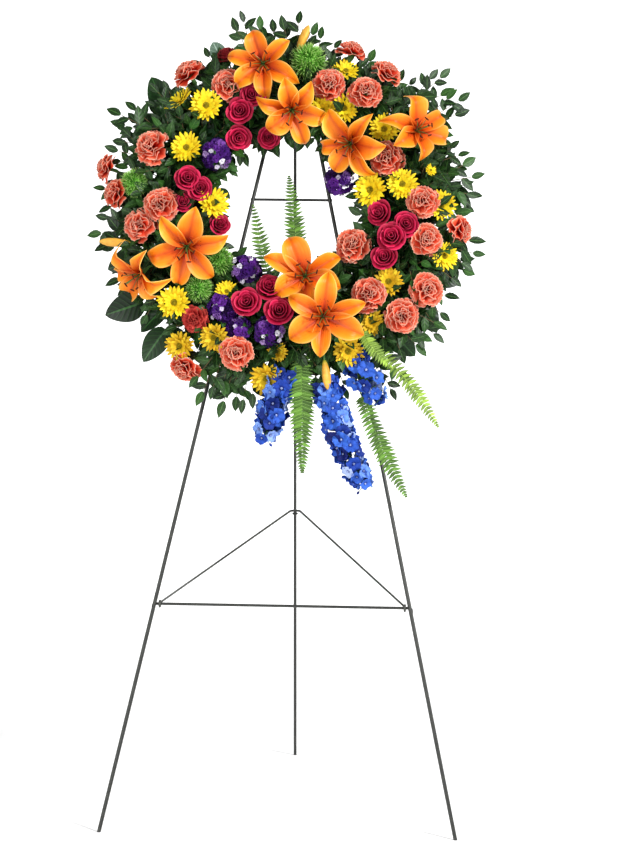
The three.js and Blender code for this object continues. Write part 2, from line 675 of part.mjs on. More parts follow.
// The easel's own solids, seen from the wreath's frame.
const fromEasel = new THREE.Matrix4()
  .makeRotationX(Math.PI / 2 - LEAN)
  .setPosition(slope(0, RING_SLANT))
  .invert();
const easelNear = [frontLeg(-1), frontLeg(1), wreathHook()].map((solid) => {
  const geometry = geometryOf(solid);
  geometry.applyMatrix4(fromEasel);
  return solidOf(geometry);
});

const settled = wanted.map((plant, i) => {
  const others = wanted.filter((_, j) => j !== i);
  const before = wanted.slice(0, i);
  const stem = cut(plant.stem, before.map(({ fatStem }) => fatStem));
  const heads = cut(plant.heads, [
    ...fixed,
    ...easelNear,
    ...others.map(({ fatStem }) => fatStem),
    ...before.map(({ fatHeads }) => fatHeads),
  ]);
  return { ...plant, solid: largest(stem.add(heads)) };
});

const allStems = wanted.map(({ fatStem }) => fatStem);
const foam = largest(cut(foamBlank(), [...allStems, hangerLoop(GAP)]));
const tray = largest(cut(trayBlank(), [hangerLoop(GAP)]));

// ---------------------------------------------------------------- the scene

const piece = (name, solid, material) => {
  const mesh = new THREE.Mesh(geometryOf(solid), material);
  mesh.name = name;
  return mesh;
};

const easel = new THREE.Group();
easel.add(
  piece('front_leg_left', frontLeg(-1), WIRE),
  piece('front_leg_right', frontLeg(1), WIRE),
  piece('upper_crossbar', upperCrossbar(), WIRE),
  piece('lower_crossbar', lowerCrossbar(), WIRE),
  piece('hinge_pin', hingePin(), WIRE),
  piece('wreath_hook', wreathHook(), WIRE),
  piece('rear_leg', rearLeg(), WIRE),
  piece('brace_catch', braceCatch(), WIRE),
  piece('brace', brace(), BRACE_WIRE),
);

const wreath = new THREE.Group();
wreath.position.copy(slope(0, RING_SLANT));
wreath.rotation.x = Math.PI / 2 - LEAN;
wreath.add(
  piece('foam_tray', tray, TRAY),
  piece('foam_ring', foam, FOAM),
  piece('hanger_loop', hangerLoop(), TIE),
  piece('tie_left', tie(-1), TIE),
  piece('tie_right', tie(1), TIE),
  ...settled.map(({ name, solid, material }) => piece(name, solid, material)),
);

const group = new THREE.Group();
group.name = 'funeral_wreath_on_easel';
easel.position.y = -DEPTH_CENTRE;
wreath.position.y -= DEPTH_CENTRE;
group.add(easel, wreath);

export default group;
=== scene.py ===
"""A round funeral wreath of fresh flowers on a folding wire easel, finished around its frame.

Lengths are in millimetres until a mesh is placed, and the row frame is in metres.
"""

import math
import random

import bmesh
import bpy
from mathutils import Matrix, Vector


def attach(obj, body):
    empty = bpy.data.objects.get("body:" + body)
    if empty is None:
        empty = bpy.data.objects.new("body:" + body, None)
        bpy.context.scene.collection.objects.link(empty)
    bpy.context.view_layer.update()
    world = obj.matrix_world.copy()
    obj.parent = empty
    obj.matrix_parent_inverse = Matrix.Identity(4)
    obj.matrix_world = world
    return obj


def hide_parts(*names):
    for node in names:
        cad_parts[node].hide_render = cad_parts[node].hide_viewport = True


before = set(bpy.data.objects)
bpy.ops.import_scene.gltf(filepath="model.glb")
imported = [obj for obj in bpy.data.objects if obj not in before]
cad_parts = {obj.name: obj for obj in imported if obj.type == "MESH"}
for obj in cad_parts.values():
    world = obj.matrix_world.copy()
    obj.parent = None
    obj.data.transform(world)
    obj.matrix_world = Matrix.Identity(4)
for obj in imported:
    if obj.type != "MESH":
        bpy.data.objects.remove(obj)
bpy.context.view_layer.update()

MM = 0.001
FRONT = "easel_front"


# ------------------------------------------------------------------ colours and materials

def linear(hex_colour):
    """An sRGB hex colour as linear red, green, blue and alpha."""
    values = [int(hex_colour[i:i + 2], 16) / 255 for i in (1, 3, 5)]
    return [v / 12.92 if v <= 0.04045 else ((v + 0.055) / 1.055) ** 2.4 for v in values] + [1.0]


def add(tree, kind, links=None, **settings):
    """Adds one node. Links go to sockets by name or number, and settings to its own properties."""
    new = tree.nodes.new(kind)
    for key, value in settings.items():
        setattr(new, key, value)
    for key, value in (links or {}).items():
        socket = new.inputs[key]
        if isinstance(value, bpy.types.NodeSocket):
            tree.links.new(value, socket)
        else:
            socket.default_value = value
    return new


def surface(name, **constants):
    """A new material with its shader's constants set. Returns the material, the tree and the shader."""
    material = bpy.data.materials.new(name)
    material.use_nodes = True
    tree = material.node_tree
    shader = tree.nodes["Principled BSDF"]
    for key, value in constants.items():
        shader.inputs[key.replace("_", " ")].default_value = value
    return material, tree, shader


def ramp(tree, factor, stops, interpolation="LINEAR"):
    """A colour ramp from [(position, hex colour), ...]."""
    new = add(tree, "ShaderNodeValToRGB", {"Fac": factor})
    bands = new.color_ramp
    bands.interpolation = interpolation
    while len(bands.elements) < len(stops):
        bands.elements.new(0.5)
    for element, (position, colour) in zip(bands.elements, stops):
        element.position = position
        element.color = linear(colour)
    return new.outputs["Color"]


def mixed(tree, factor, first, second, blend="MIX"):
    """Two colours mixed. Each is a socket or a hex colour."""
    new = tree.nodes.new("ShaderNodeMix")
    new.data_type = "RGBA"
    new.blend_type = blend
    for socket, value in ((new.inputs[0], factor), (new.inputs[6], first), (new.inputs[7], second)):
        if isinstance(value, bpy.types.NodeSocket):
            tree.links.new(value, socket)
        else:
            socket.default_value = linear(value) if isinstance(value, str) else value
    return new.outputs[2]


def noise_at(tree, size_mm, detail=3.0, roughness=0.55):
    """Noise in the object's own space whose lumps are about size_mm across."""
    where = add(tree, "ShaderNodeTexCoord").outputs["Object"]
    return add(tree, "ShaderNodeTexNoise", {
        "Vector": where, "Scale": 1 / (size_mm * MM), "Detail": detail, "Roughness": roughness,
    }).outputs["Fac"]


def bumped(tree, shader, height, strength, distance_mm):
    """Raises the surface where height is bright."""
    bump = add(tree, "ShaderNodeBump", {
        "Height": height, "Strength": strength, "Distance": distance_mm * MM,
    })
    tree.links.new(bump.outputs["Normal"], shader.inputs["Normal"])


def along_and_across(tree):
    """The petal's own UV map: across from 0 to 1 and along from the base, 0, to the tip, 1."""
    split = add(tree, "ShaderNodeSeparateXYZ", {0: add(tree, "ShaderNodeUVMap", uv_map="petal").outputs[0]})
    return split.outputs["Y"], split.outputs["X"]


def tone(tree):
    """Each petal's or leaf's own shade, from 0 to 1."""
    return add(tree, "ShaderNodeAttribute", attribute_name="tone").outputs["Fac"]


def maths(tree, operation, a, b=0.0, c=0.0):
    return add(tree, "ShaderNodeMath", {0: a, 1: b, 2: c}, operation=operation).outputs[0]


def shaded(tree, colour, *shades):
    """A colour multiplied by each shade in turn."""
    for shade in shades:
        colour = mixed(tree, 1.0, colour, shade, "MULTIPLY")
    return colour


def own_shade(tree, darkest):
    """A multiplier for each petal, from the darkest one's colour to white."""
    return ramp(tree, tone(tree), [(0.0, darkest), (1.0, "#ffffff")])


def veined(tree, shader, across, radians, strength=0.25, depth_mm=0.3):
    """Fine veins lengthwise: a sine wave that turns through so many radians from edge to edge."""
    wave = maths(tree, "SINE", maths(tree, "MULTIPLY", across, radians))
    bumped(tree, shader, wave, strength, depth_mm)


def petal(name, along_stops, darkest, vein_radians=50, **constants):
    """Petal tissue: a colour that runs from base to tip, fine veins lengthwise, and a shade of its own."""
    material, tree, shader = surface(name, Specular_IOR_Level=0.22, **constants)
    along, across = along_and_across(tree)
    soft = ramp(tree, noise_at(tree, 9), [(0.3, "#d8d8d8"), (0.7, "#ffffff")])
    coloured = shaded(tree, ramp(tree, along, along_stops), own_shade(tree, darkest), soft)
    tree.links.new(coloured, shader.inputs["Base Color"])
    veined(tree, shader, across, vein_radians)
    return material


def by_floret(name, stops):
    """Petals whose colour is picked by each floret's own tone, from deep to pale, with painted shade towards
    each petal's base.
    """
    material, tree, shader = surface(name, Roughness=0.62, Specular_IOR_Level=0.2)
    along, across = along_and_across(tree)
    # Painted shade: each petal darkens towards its base, where the petals meet at the floret's heart.
    heart_shade = ramp(tree, along, [(0.0, "#8c88a8"), (0.35, "#ffffff"), (1.0, "#ffffff")])
    soft = ramp(tree, noise_at(tree, 7), [(0.3, "#c8c8d4"), (0.7, "#ffffff")])
    coloured = shaded(tree, ramp(tree, tone(tree), stops), heart_shade, soft)
    tree.links.new(coloured, shader.inputs["Base Color"])
    veined(tree, shader, across, 40)
    return material


def leaf(name, face, edge, rib, roughness, rib_pairs=7):
    """A leaf: a waxy cuticle over green tissue, a paler midrib and side veins that run up from it."""
    material, tree, shader = surface(name, Roughness=roughness, Specular_IOR_Level=0.28)
    along, across = along_and_across(tree)
    off = maths(tree, "ABSOLUTE", maths(tree, "SUBTRACT", across, 0.5))
    midrib = maths(tree, "LESS_THAN", off, 0.035)
    chevron = maths(tree, "SUBTRACT", along, maths(tree, "MULTIPLY", off, 0.55))
    wave = maths(tree, "SINE", maths(tree, "MULTIPLY", chevron, 2 * math.pi * rib_pairs))
    veins = maths(tree, "GREATER_THAN", wave, 0.93)
    mottled = mixed(tree, noise_at(tree, 5), face, edge)
    # Most leaves stay dark, and only a few catch the light.
    shade = ramp(tree, tone(tree), [(0.0, "#5a6660"), (0.7, "#a4a8a0"), (0.92, "#dcdcc8"), (1.0, "#ffffff")])
    coloured = shaded(tree, mottled, shade)
    lines = maths(tree, "MAXIMUM", midrib, maths(tree, "MULTIPLY", veins, 0.35))
    coloured = mixed(tree, maths(tree, "MULTIPLY", lines, 0.7), coloured, rib)
    tree.links.new(coloured, shader.inputs["Base Color"])
    bumped(tree, shader, wave, 0.3, 0.4)
    return material


def enamelled_wire(name, colour, worn):
    """Drawn steel wire dipped in dark enamel: satin, with thin patches where the steel greys through."""
    material, tree, shader = surface(name, Metallic=0.0, Specular_IOR_Level=0.55)
    patches = ramp(tree, noise_at(tree, 14, 5, 0.7), [(0.48, "#000000"), (0.72, "#ffffff")])
    tree.links.new(mixed(tree, patches, colour, worn), shader.inputs["Base Color"])
    grain = noise_at(tree, 1.2, 4, 0.6)
    tree.links.new(maths(tree, "MULTIPLY_ADD", grain, 0.25, 0.3), shader.inputs["Roughness"])
    bumped(tree, shader, grain, 0.15, 0.1)
    return material


def wet_foam():
    """Open-cell floral foam, soaked: dull and deep green. Its cells are drawn at 1.5 mm, to show."""
    material, tree, shader = surface("wet floral foam", Roughness=0.95)
    cells = add(tree, "ShaderNodeTexVoronoi", {
        "Vector": add(tree, "ShaderNodeTexCoord").outputs["Object"], "Scale": 1 / (1.5 * MM),
    }).outputs["Distance"]
    colour = ramp(tree, cells, [(0.0, "#16301c"), (0.6, "#33603a")])
    tree.links.new(mixed(tree, noise_at(tree, 20), colour, "#24482b"), shader.inputs["Base Color"])
    bumped(tree, shader, cells, 0.6, 0.6)
    return material


def even_skin(name, colour, roughness):
    """One even colour with a faint fine texture, as on moulded plastic, a cut stem or a young twig."""
    material, tree, shader = surface(name, Base_Color=linear(colour), Specular_IOR_Level=0.5)
    peel = noise_at(tree, 2.5, 2, 0.5)
    tree.links.new(maths(tree, "MULTIPLY_ADD", peel, 0.15, roughness - 0.07), shader.inputs["Roughness"])
    bumped(tree, shader, peel, 0.1, 0.15)
    return material


def lily_petal():
    """Waxy lily tepal: golden margins and a deeper orange middle, partly painted light and shade, and a red
    throat with a few dark freckles.
    """
    material, tree, shader = surface("waxy lily petal", Roughness=0.46, Specular_IOR_Level=0.25)
    along, across = along_and_across(tree)
    off = maths(tree, "ABSOLUTE", maths(tree, "MULTIPLY_ADD", across, 2.0, -1.0))
    # Across the tepal: deeper orange along the middle fold, golden to the margins. Partly the lily's own
    # colour, partly painted shade in the fold and painted light on the margins.
    flame_and_fold_shade = ramp(tree, off, [
        (0.0, "#cf5f06"), (0.2, "#e67c0c"), (0.6, "#f39a1a"), (0.85, "#fbb235"), (1.0, "#ffd070")])
    throat = ramp(tree, along, [(0.0, "#b0541c"), (0.22, "#dc9060"), (0.5, "#f6e4d8"), (1.0, "#ffffff")])
    coloured = shaded(tree, flame_and_fold_shade, throat, own_shade(tree, "#ecc8ac"))
    spots = add(tree, "ShaderNodeTexVoronoi", {
        "Vector": add(tree, "ShaderNodeTexCoord").outputs["Object"], "Scale": 1 / (4.5 * MM),
    }).outputs["Distance"]
    low, inward = maths(tree, "LESS_THAN", along, 0.34), maths(tree, "LESS_THAN", off, 0.6)
    near_throat = maths(tree, "MULTIPLY", low, inward)
    freckles = maths(tree, "MULTIPLY", maths(tree, "LESS_THAN", spots, 0.2), near_throat)
    coloured = mixed(tree, freckles, coloured, "#6a1c08")
    tree.links.new(coloured, shader.inputs["Base Color"])
    veined(tree, shader, across, 55, 0.3, 0.35)
    return material


EASEL = enamelled_wire("dark enamelled steel wire", "#1b1d19", "#33352f")
BRACE = enamelled_wire("thin grey steel wire", "#2c2e29", "#4a4d46")
TRAY = even_skin("green moulded tray", "#1c4a2b", 0.42)
STRAP = even_skin("black nylon strap", "#171a18", 0.5)
FOAM = wet_foam()
LILY = lily_petal()
ANTHER = petal("dusty lily anther", [(0.0, "#4b1d0c"), (1.0, "#6a2c12")], "#b0b0b0", Roughness=0.95)
BUD = petal(
    "closed lily bud", [(0.0, "#8d9a2c"), (0.25, "#e2a63a"), (1.0, "#f6bb52")], "#e0d0b0", Roughness=0.45)
# Both carnation colours deepen towards the petal's base and pale towards the fringe. This is partly the
# flower's own colour, partly painted shade in the bloom's depths and painted highlight on the fringe.
CARNATION = petal(
    "fringed carnation petal",
    [(0.0, "#a81408"), (0.5, "#dc3018"), (0.82, "#f6603e"), (0.94, "#ff8c6c"), (1.0, "#ffccb4")],
    "#dcaca0", Roughness=0.66)
RED_CARNATION = petal(
    "red carnation petal", [(0.0, "#7c0f14"), (0.6, "#c01c22"), (1.0, "#e2564c")], "#c8a0a0", Roughness=0.66)
# Both rose colours darken towards the petal's base and brighten towards the rolled lip. This is partly the
# rose's own colour, partly painted shade deep in the cup and painted highlight on the lips.
ROSE = petal(
    "velvet rose petal", [(0.0, "#5a0218"), (0.5, "#ac0a34"), (0.9, "#d3164a"), (1.0, "#ea3a68")],
    "#b09098", Roughness=0.6)
DARK_ROSE = petal(
    "burgundy rose petal", [(0.0, "#380608"), (0.6, "#7c0c18"), (1.0, "#a82a30")], "#b0a0a0", Roughness=0.6)
MUM = petal(
    "lemon daisy mum ray", [(0.0, "#d9ac10"), (0.3, "#f7dc18"), (1.0, "#ffee30")],
    "#ecd080", vein_radians=7.5, Roughness=0.62)
GOLDEN_MUM = petal(
    "golden daisy mum ray", [(0.0, "#a8820e"), (0.3, "#dcb61a"), (1.0, "#f4d430")],
    "#dcbe74", vein_radians=7.5, Roughness=0.62)
MUM_EYE = petal("daisy mum eye", [(0.0, "#93820f"), (1.0, "#cdb41c")], "#a0a060", Roughness=0.8)
STOCK = by_floret("ruffled stock petal", [
    (0.0, "#240840"), (0.45, "#431270"), (0.7, "#6c2c98"), (0.84, "#b48ccc"), (0.93, "#f0e8f6"),
    (1.0, "#ffffff")])
# Each floret's tone picks its blue. Navy to mid blue is the spike's own variety; the pale blue-white end is
# painted highlight on the florets that draw it.
DELPHINIUM = by_floret("delphinium sepal", [
    (0.0, "#111f6a"), (0.3, "#2347ac"), (0.6, "#3f72d8"), (0.85, "#7aa4f0"), (1.0, "#cfdefb")])
BEE = petal("pale delphinium eye", [(0.0, "#8fa4e0"), (1.0, "#dfe8fc")], "#b0b4cc", Roughness=0.7)
# Each bract runs from dark green at its base, deep in the ball, to pale lime at its tip. The mid green is its
# own colour; the dark base is painted shade between the bracts and the pale tip is painted light.
DIANTHUS = petal(
    "fuzzy green dianthus", [(0.0, "#2c6414"), (0.4, "#7cc840"), (1.0, "#dcfaa0")],
    "#b4d0a0", Roughness=0.7)
FERN = leaf("sword fern", "#568a30", "#76a440", "#94bc60", 0.6, rib_pairs=9)
# A paler lime copy of the sword fern, for two fronds on the right: its lime is painted light.
LIT_FERN = leaf("lit sword fern", "#94c03c", "#b4d858", "#cce880", 0.6, rib_pairs=9)
HUCKLEBERRY = leaf("huckleberry leaf", "#1c4419", "#3c6a28", "#4f7a3a", 0.46, rib_pairs=4)
SALAL = leaf("leathery salal leaf", "#143814", "#24501f", "#35642c", 0.4)
EUCALYPTUS = leaf("powdery eucalyptus leaf", "#6f8f7c", "#8aa896", "#a0b8a8", 0.7, rib_pairs=5)
STEM = even_skin("green stem", "#3f6b2c", 0.55)
TWIG = even_skin("brown twig", "#5a4a2a", 0.7)


# ------------------------------------------------------------------ making meshes

def only(obj):
    """Deselects all and makes one object active and selected."""
    bpy.ops.object.select_all(action="DESELECT")
    obj.select_set(True)
    bpy.context.view_layer.objects.active = obj


def finish_with(obj, *modifiers):
    """Adds each (kind, settings) modifier and applies it."""
    only(obj)
    for kind, settings in modifiers:
        modifier = obj.modifiers.new(kind.title(), kind)
        for key, value in settings.items():
            setattr(modifier, key, value)
        bpy.ops.object.modifier_apply(modifier=modifier.name)


def working(mesh):
    """An object for a mesh, linked, active and alone selected."""
    obj = bpy.data.objects.new("working", mesh)
    bpy.context.scene.collection.objects.link(obj)
    only(obj)
    return obj


def kept_mesh(obj):
    """Takes the mesh from a working object and removes the object."""
    mesh = obj.data
    bpy.data.objects.remove(obj)
    return mesh


# The tone of a sheet and of a stem, wire or turned solid that is given none of its own.
SHEET_TONE = 0.5
ROUND_TONE = 0.6


def sheet(across, along, place):
    """A petal or leaf: a grid shaped by place(s, t), with s from -1 to 1 across and t from base to tip."""
    bpy.ops.object.select_all(action="DESELECT")
    bpy.ops.mesh.primitive_grid_add(x_subdivisions=across, y_subdivisions=along, size=2)
    obj = bpy.context.object
    mesh = obj.data
    mesh.uv_layers[0].name = "petal"
    for vertex in mesh.vertices:
        vertex.co = place(vertex.co.x, (vertex.co.y + 1) / 2)
    stamp(mesh, SHEET_TONE)
    return kept_mesh(obj)


def stamp(mesh, value):
    """Gives every point of a mesh its tone."""
    shade = mesh.attributes.get("tone") or mesh.attributes.new("tone", "FLOAT", "POINT")
    shade.data.foreach_set("value", [value] * len(mesh.vertices))


def joined(parts):
    """One mesh from (mesh, matrix, material slot) or (mesh, matrix, slot, tone) parts, in order."""
    target = bmesh.new()
    for source, matrix, slot, *shade in parts:
        copy = source.copy()
        copy.transform(matrix)
        if matrix.determinant() < 0:
            copy.flip_normals()
        if slot is not None:
            copy.polygons.foreach_set("material_index", [slot] * len(copy.polygons))
        if shade:
            stamp(copy, shade[0])
        target.from_mesh(copy)
        bpy.data.meshes.remove(copy)
    mesh = bpy.data.meshes.new("joined")
    target.to_mesh(mesh)
    target.free()
    return mesh


def thickened(mesh, thickness):
    """Gives open petals their thickness, with closed rims."""
    obj = working(mesh)
    finish_with(obj, ("SOLIDIFY", {"thickness": thickness, "offset": 0.0}))
    return kept_mesh(obj)


def strand(points, radius, sides=6, tip=1.0, smooth=False):
    """A stem or wire along points, tapering to tip times its radius."""
    data = bpy.data.curves.new("strand", "CURVE")
    data.dimensions = "3D"
    data.bevel_depth = radius
    data.bevel_resolution = max(0, sides // 2 - 2)
    data.use_fill_caps = True
    data.resolution_u = 5
    spline = data.splines.new("BEZIER" if smooth else "POLY")
    knots = spline.bezier_points if smooth else spline.points
    knots.add(len(points) - 1)
    for i, (knot, point) in enumerate(zip(knots, points)):
        knot.co = point if smooth else (*point, 1.0)
        knot.radius = 1 + (tip - 1) * i / (len(points) - 1)
        if smooth:
            knot.handle_left_type = knot.handle_right_type = "AUTO"
    working(data)
    bpy.ops.object.convert(target="MESH")
    mesh = bpy.context.object.data
    if not mesh.uv_layers:
        mesh.uv_layers.new(name="petal")
    mesh.uv_layers[0].name = "petal"
    stamp(mesh, ROUND_TONE)
    return kept_mesh(bpy.context.object)


def turned(profile, sides):
    """A solid of revolution: an edge profile of [radius, height], spun about Z, with closed poles."""
    mesh = bpy.data.meshes.new("profile")
    mesh.from_pydata([(r, 0, z) for r, z in profile], [(i, i + 1) for i in range(len(profile) - 1)], [])
    obj = working(mesh)
    bpy.ops.object.mode_set(mode="EDIT")
    bpy.ops.mesh.select_all(action="SELECT")
    bpy.ops.mesh.spin(steps=sides, angle=2 * math.pi, center=(0, 0, 0), axis=(0, 0, 1))
    bpy.ops.mesh.select_all(action="SELECT")
    bpy.ops.mesh.remove_doubles(threshold=0.01)
    bpy.ops.mesh.normals_make_consistent(inside=False)
    bpy.ops.object.mode_set(mode="OBJECT")
    mesh.uv_layers.new(name="petal")
    stamp(mesh, ROUND_TONE)
    return kept_mesh(obj)


def turn(axis, degrees):
    return Matrix.Rotation(math.radians(degrees), 4, axis)


def move(x, y, z):
    return Matrix.Translation((x, y, z))


def aimed(direction):
    """The turn that takes +Z to a direction."""
    return OUTWARD.rotation_difference(direction).to_matrix().to_4x4()


STILL = Matrix.Identity(4)
OUTWARD = Vector((0, 0, 1))


def piece(name, mesh, materials, body=FRONT, stands_for=(), slot=None, smooth=60):
    """Puts a finished mesh, already in the row frame in metres, on its body."""
    mesh.name = name
    for material in materials:
        mesh.materials.append(material)
    obj = bpy.data.objects.new(name, mesh)
    bpy.context.scene.collection.objects.link(obj)
    only(obj)
    bpy.ops.object.shade_smooth_by_angle(angle=math.radians(smooth))
    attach(obj, body)
    if stands_for:
        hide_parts(*stands_for)


# ------------------------------------------------------------------ the easel, in the row frame

LEAN = math.radians(13.8)
DEPTH_CENTRE = 320
FOOT_HALF = 318
APEX_SLANT = 1500
REAR_FOOT_BACK = 638
LEG_RADIUS, REAR_RADIUS, BAR_RADIUS, BRACE_RADIUS, PIN_RADIUS = 3.5, 3.0, 2.5, 2.2, 2.0
HOOK_RADIUS = 2.0
CATCH_RADIUS = 1.2
LEG_TOP, PIN_SLANT, HOOK_SLANT, UPPER_SLANT, LOWER_SLANT = 1468, 1460, 1408, 1165, 410
UPPER_HALF, LOWER_HALF, PIN_HALF = 76, 234.5, 13
LOWER_TURN_DOWN = 11
BRIDGE_HEIGHT, BRIDGE_HALF, BRACE_EYE_AT = 515, 9, 222
CONTACT_GAP = 0.35
BELOW_GROUND = 30
RIGHT = Vector((1, 0, 0))
UP = Vector((0, math.sin(LEAN), math.cos(LEAN)))
OUT = Vector((0, -math.cos(LEAN), math.sin(LEAN)))
FEET = Vector((0, -DEPTH_CENTRE, 0))


def slope(across, along, out=0.0):
    """A point in the leaning plane of the front legs, in millimetres of the row frame."""
    return FEET + RIGHT * across + UP * along + OUT * out


def leg_half(along):
    return FOOT_HALF * (1 - along / APEX_SLANT)


def easel_piece(node, mesh, body=FRONT, material=EASEL, slot="easel_wire"):
    """Puts a mesh made in millimetres on its body, in place of its node."""
    mesh.transform(Matrix.Scale(MM, 4))
    piece(node + "_wire", mesh, [material], body, [node], slot)


def filleted(points, bend, steps=6):
    """A bent wire's middle line: the corners between straight runs are rounded to a bend radius."""
    path = [points[0]]
    for before, corner, after in zip(points, points[1:], points[2:]):
        back, ahead = (before - corner), (after - corner)
        reach = min(bend, 0.45 * back.length, 0.45 * ahead.length)
        start, end = corner + back.normalized() * reach, corner + ahead.normalized() * reach
        for i in range(steps + 1):
            t = i / steps
            path.append((1 - t) ** 2 * start + 2 * t * (1 - t) * corner + t ** 2 * end)
    return path + [points[-1]]


def cut_level(mesh):
    """Cuts a leg's end off level with the ground and closes the cut."""
    obj = working(mesh)
    bpy.ops.object.mode_set(mode="EDIT")
    bpy.ops.mesh.select_all(action="SELECT")
    bpy.ops.mesh.bisect(plane_co=(0, 0, 0), plane_no=(0, 0, 1), clear_inner=True, use_fill=True)
    bpy.ops.object.mode_set(mode="OBJECT")
    return kept_mesh(obj)


def wire_ring(centre, axis, radius, wire, sides=12, steps=40):
    """A closed ring of wire round an axis."""
    bpy.ops.object.select_all(action="DESELECT")
    bpy.ops.mesh.primitive_torus_add(
        major_segments=steps, minor_segments=sides, major_radius=radius, minor_radius=wire)
    obj = bpy.context.object
    obj.data.uv_layers[0].name = "petal"
    spin = axis.to_track_quat("Z", "Y").to_matrix().to_4x4()
    obj.data.transform(Matrix.Translation(centre) @ spin)
    stamp(obj.data, ROUND_TONE)
    return kept_mesh(obj)


PIN_OUT = -(LEG_RADIUS + PIN_RADIUS + CONTACT_GAP)
BEHIND = -(LEG_RADIUS + BAR_RADIUS + CONTACT_GAP)
pin = slope(0, PIN_SLANT, PIN_OUT)
rear_foot = FEET + Vector((0, REAR_FOOT_BACK, 0))
rear_down = (rear_foot - pin).normalized()
rear_back = Vector((0, -rear_down.z, rear_down.y))
brace_meets = pin.lerp(rear_foot, (pin.z - BRIDGE_HEIGHT) / pin.z)
bridge = brace_meets + rear_back * (REAR_RADIUS + BRACE_RADIUS + 0.6)

for side, name in ((-1, "front_leg_left"), (1, "front_leg_right")):
    ends = [slope(side * leg_half(along), along) for along in (-BELOW_GROUND, LEG_TOP)]
    easel_piece(name, cut_level(strand(ends, LEG_RADIUS, 20)))

upper_ends = [slope(side * UPPER_HALF, UPPER_SLANT, BEHIND) for side in (-1, 1)]
easel_piece("upper_crossbar", strand(upper_ends, BAR_RADIUS, 18))

left, right = [slope(side * LOWER_HALF, LOWER_SLANT, BEHIND) for side in (-1, 1)]
turned_down = UP * LOWER_TURN_DOWN
lower_path = filleted([left - turned_down, left, right, right - turned_down], 5)
easel_piece("lower_crossbar", strand(lower_path, BAR_RADIUS, 18))

easel_piece("hinge_pin", strand([pin - RIGHT * PIN_HALF, pin + RIGHT * PIN_HALF], PIN_RADIUS, 18))

hook_out = LEG_RADIUS + HOOK_RADIUS + CONTACT_GAP
hook_half = leg_half(HOOK_SLANT) + 6
hook_bar = [slope(side * hook_half, HOOK_SLANT, hook_out) for side in (-1, 1)]
hook_tip = [slope(0, HOOK_SLANT, hook_out), slope(0, HOOK_SLANT, 16), slope(0, HOOK_SLANT + 12, 18)]
easel_piece("wreath_hook", joined([
    (strand(hook_bar, HOOK_RADIUS, 16), STILL, 0),
    (strand(filleted(hook_tip, 4), HOOK_RADIUS, 16), STILL, 0),
]))

eye_radius = PIN_RADIUS + 0.4 + REAR_RADIUS
rear_ends = [pin + rear_down * eye_radius, rear_foot + rear_down * BELOW_GROUND]
easel_piece("rear_leg", joined([
    (wire_ring(pin, RIGHT, eye_radius, REAR_RADIUS), STILL, 0),
    (cut_level(strand(rear_ends, REAR_RADIUS, 18)), STILL, 0),
]), "rear_leg")

catch_at = brace_meets + rear_down * (BRACE_RADIUS + CATCH_RADIUS + 0.5)
catch_ring = REAR_RADIUS + CONTACT_GAP + CATCH_RADIUS
easel_piece("brace_catch", wire_ring(catch_at, rear_down, catch_ring, CATCH_RADIUS), "rear_leg")


def brace_path(side):
    """From the middle of the bridge, out along an arm, and once round the lower bar's end."""
    pivot = slope(side * BRACE_EYE_AT, LOWER_SLANT, BEHIND)
    corner = Vector((side * BRIDGE_HALF, bridge.y, bridge.z))
    reach = (corner - pivot).normalized()
    radius = BAR_RADIUS + 0.45 + BRACE_RADIUS
    start = math.atan2(reach.z, reach.y)
    loop = [
        pivot + Vector((0, math.cos(start + a), math.sin(start + a))) * radius
        for a in (math.radians(-20 * i) for i in range(18))
    ]
    return filleted([Vector((0, bridge.y, bridge.z)), corner, loop[0]], 4)[:-1] + loop


brace = joined([(strand(brace_path(side), BRACE_RADIUS, 14), STILL, 0) for side in (-1, 1)])
easel_piece("brace", brace, "brace", BRACE, "brace_wire")


# ------------------------------------------------------------------ the ring, in the wreath's frame

FOAM_BACK, FOAM_FRONT = 6.45, 52
RING_INNER, RING_OUTER = 178, 254
RING_MIDDLE = (RING_INNER + RING_OUTER) / 2
TRAY_BACK, TRAY_FLOOR, TRAY_LIP = 4.1, 6.1, 18
STEM_END = 28
CROWN = 98
RING_SLANT = 1130

ring_centre = slope(0, RING_SLANT) * MM
WREATH = Matrix((
    (RIGHT.x, UP.x, OUT.x, ring_centre.x),
    (RIGHT.y, UP.y, OUT.y, ring_centre.y),
    (RIGHT.z, UP.z, OUT.z, ring_centre.z),
    (0, 0, 0, 1),
)) @ Matrix.Scale(MM, 4)


def on_ring(clock, radius, height):
    """A point of the wreath: a clock angle in degrees from the top, a radius and a height off the legs."""
    angle = math.radians(clock)
    return Vector((radius * math.sin(angle), radius * math.cos(angle), height))


def crown(radius):
    """How far out from the legs the middle of a bloom is: the wreath's front is a rounded bank."""
    return CROWN - 0.003 * (radius - RING_MIDDLE) ** 2


def facing(clock, radius):
    """The way a bloom looks there, a little inward or outward of straight ahead."""
    tilt = math.radians((radius - RING_MIDDLE) * 0.28)
    return (OUTWARD * math.cos(tilt) + on_ring(clock, 1, 0) * math.sin(tilt)).normalized()


def head_at(place, spin, size, nod):
    """The matrix that puts a bloom made round +Z at a place on the ring, nodding (clock, degrees) over."""
    clock, radius, lift = (*place, 0, 0)[:3]
    spot = Matrix.Translation(on_ring(clock, radius, crown(radius) + lift))
    tip_over = turn("Z", -nod[0]) @ turn("X", -nod[1]) @ turn("Z", nod[0])
    return spot @ tip_over @ aimed(facing(clock, radius)) @ turn("Z", spin) @ Matrix.Scale(size, 4)


def wreath_piece(name, parts, materials, node, slot):
    """Joins parts made in the wreath's frame into one piece that stands for a node, or for none."""
    whole = joined(parts)
    whole.transform(WREATH)
    piece(name, whole, materials, FRONT, [node] if node else (), slot)


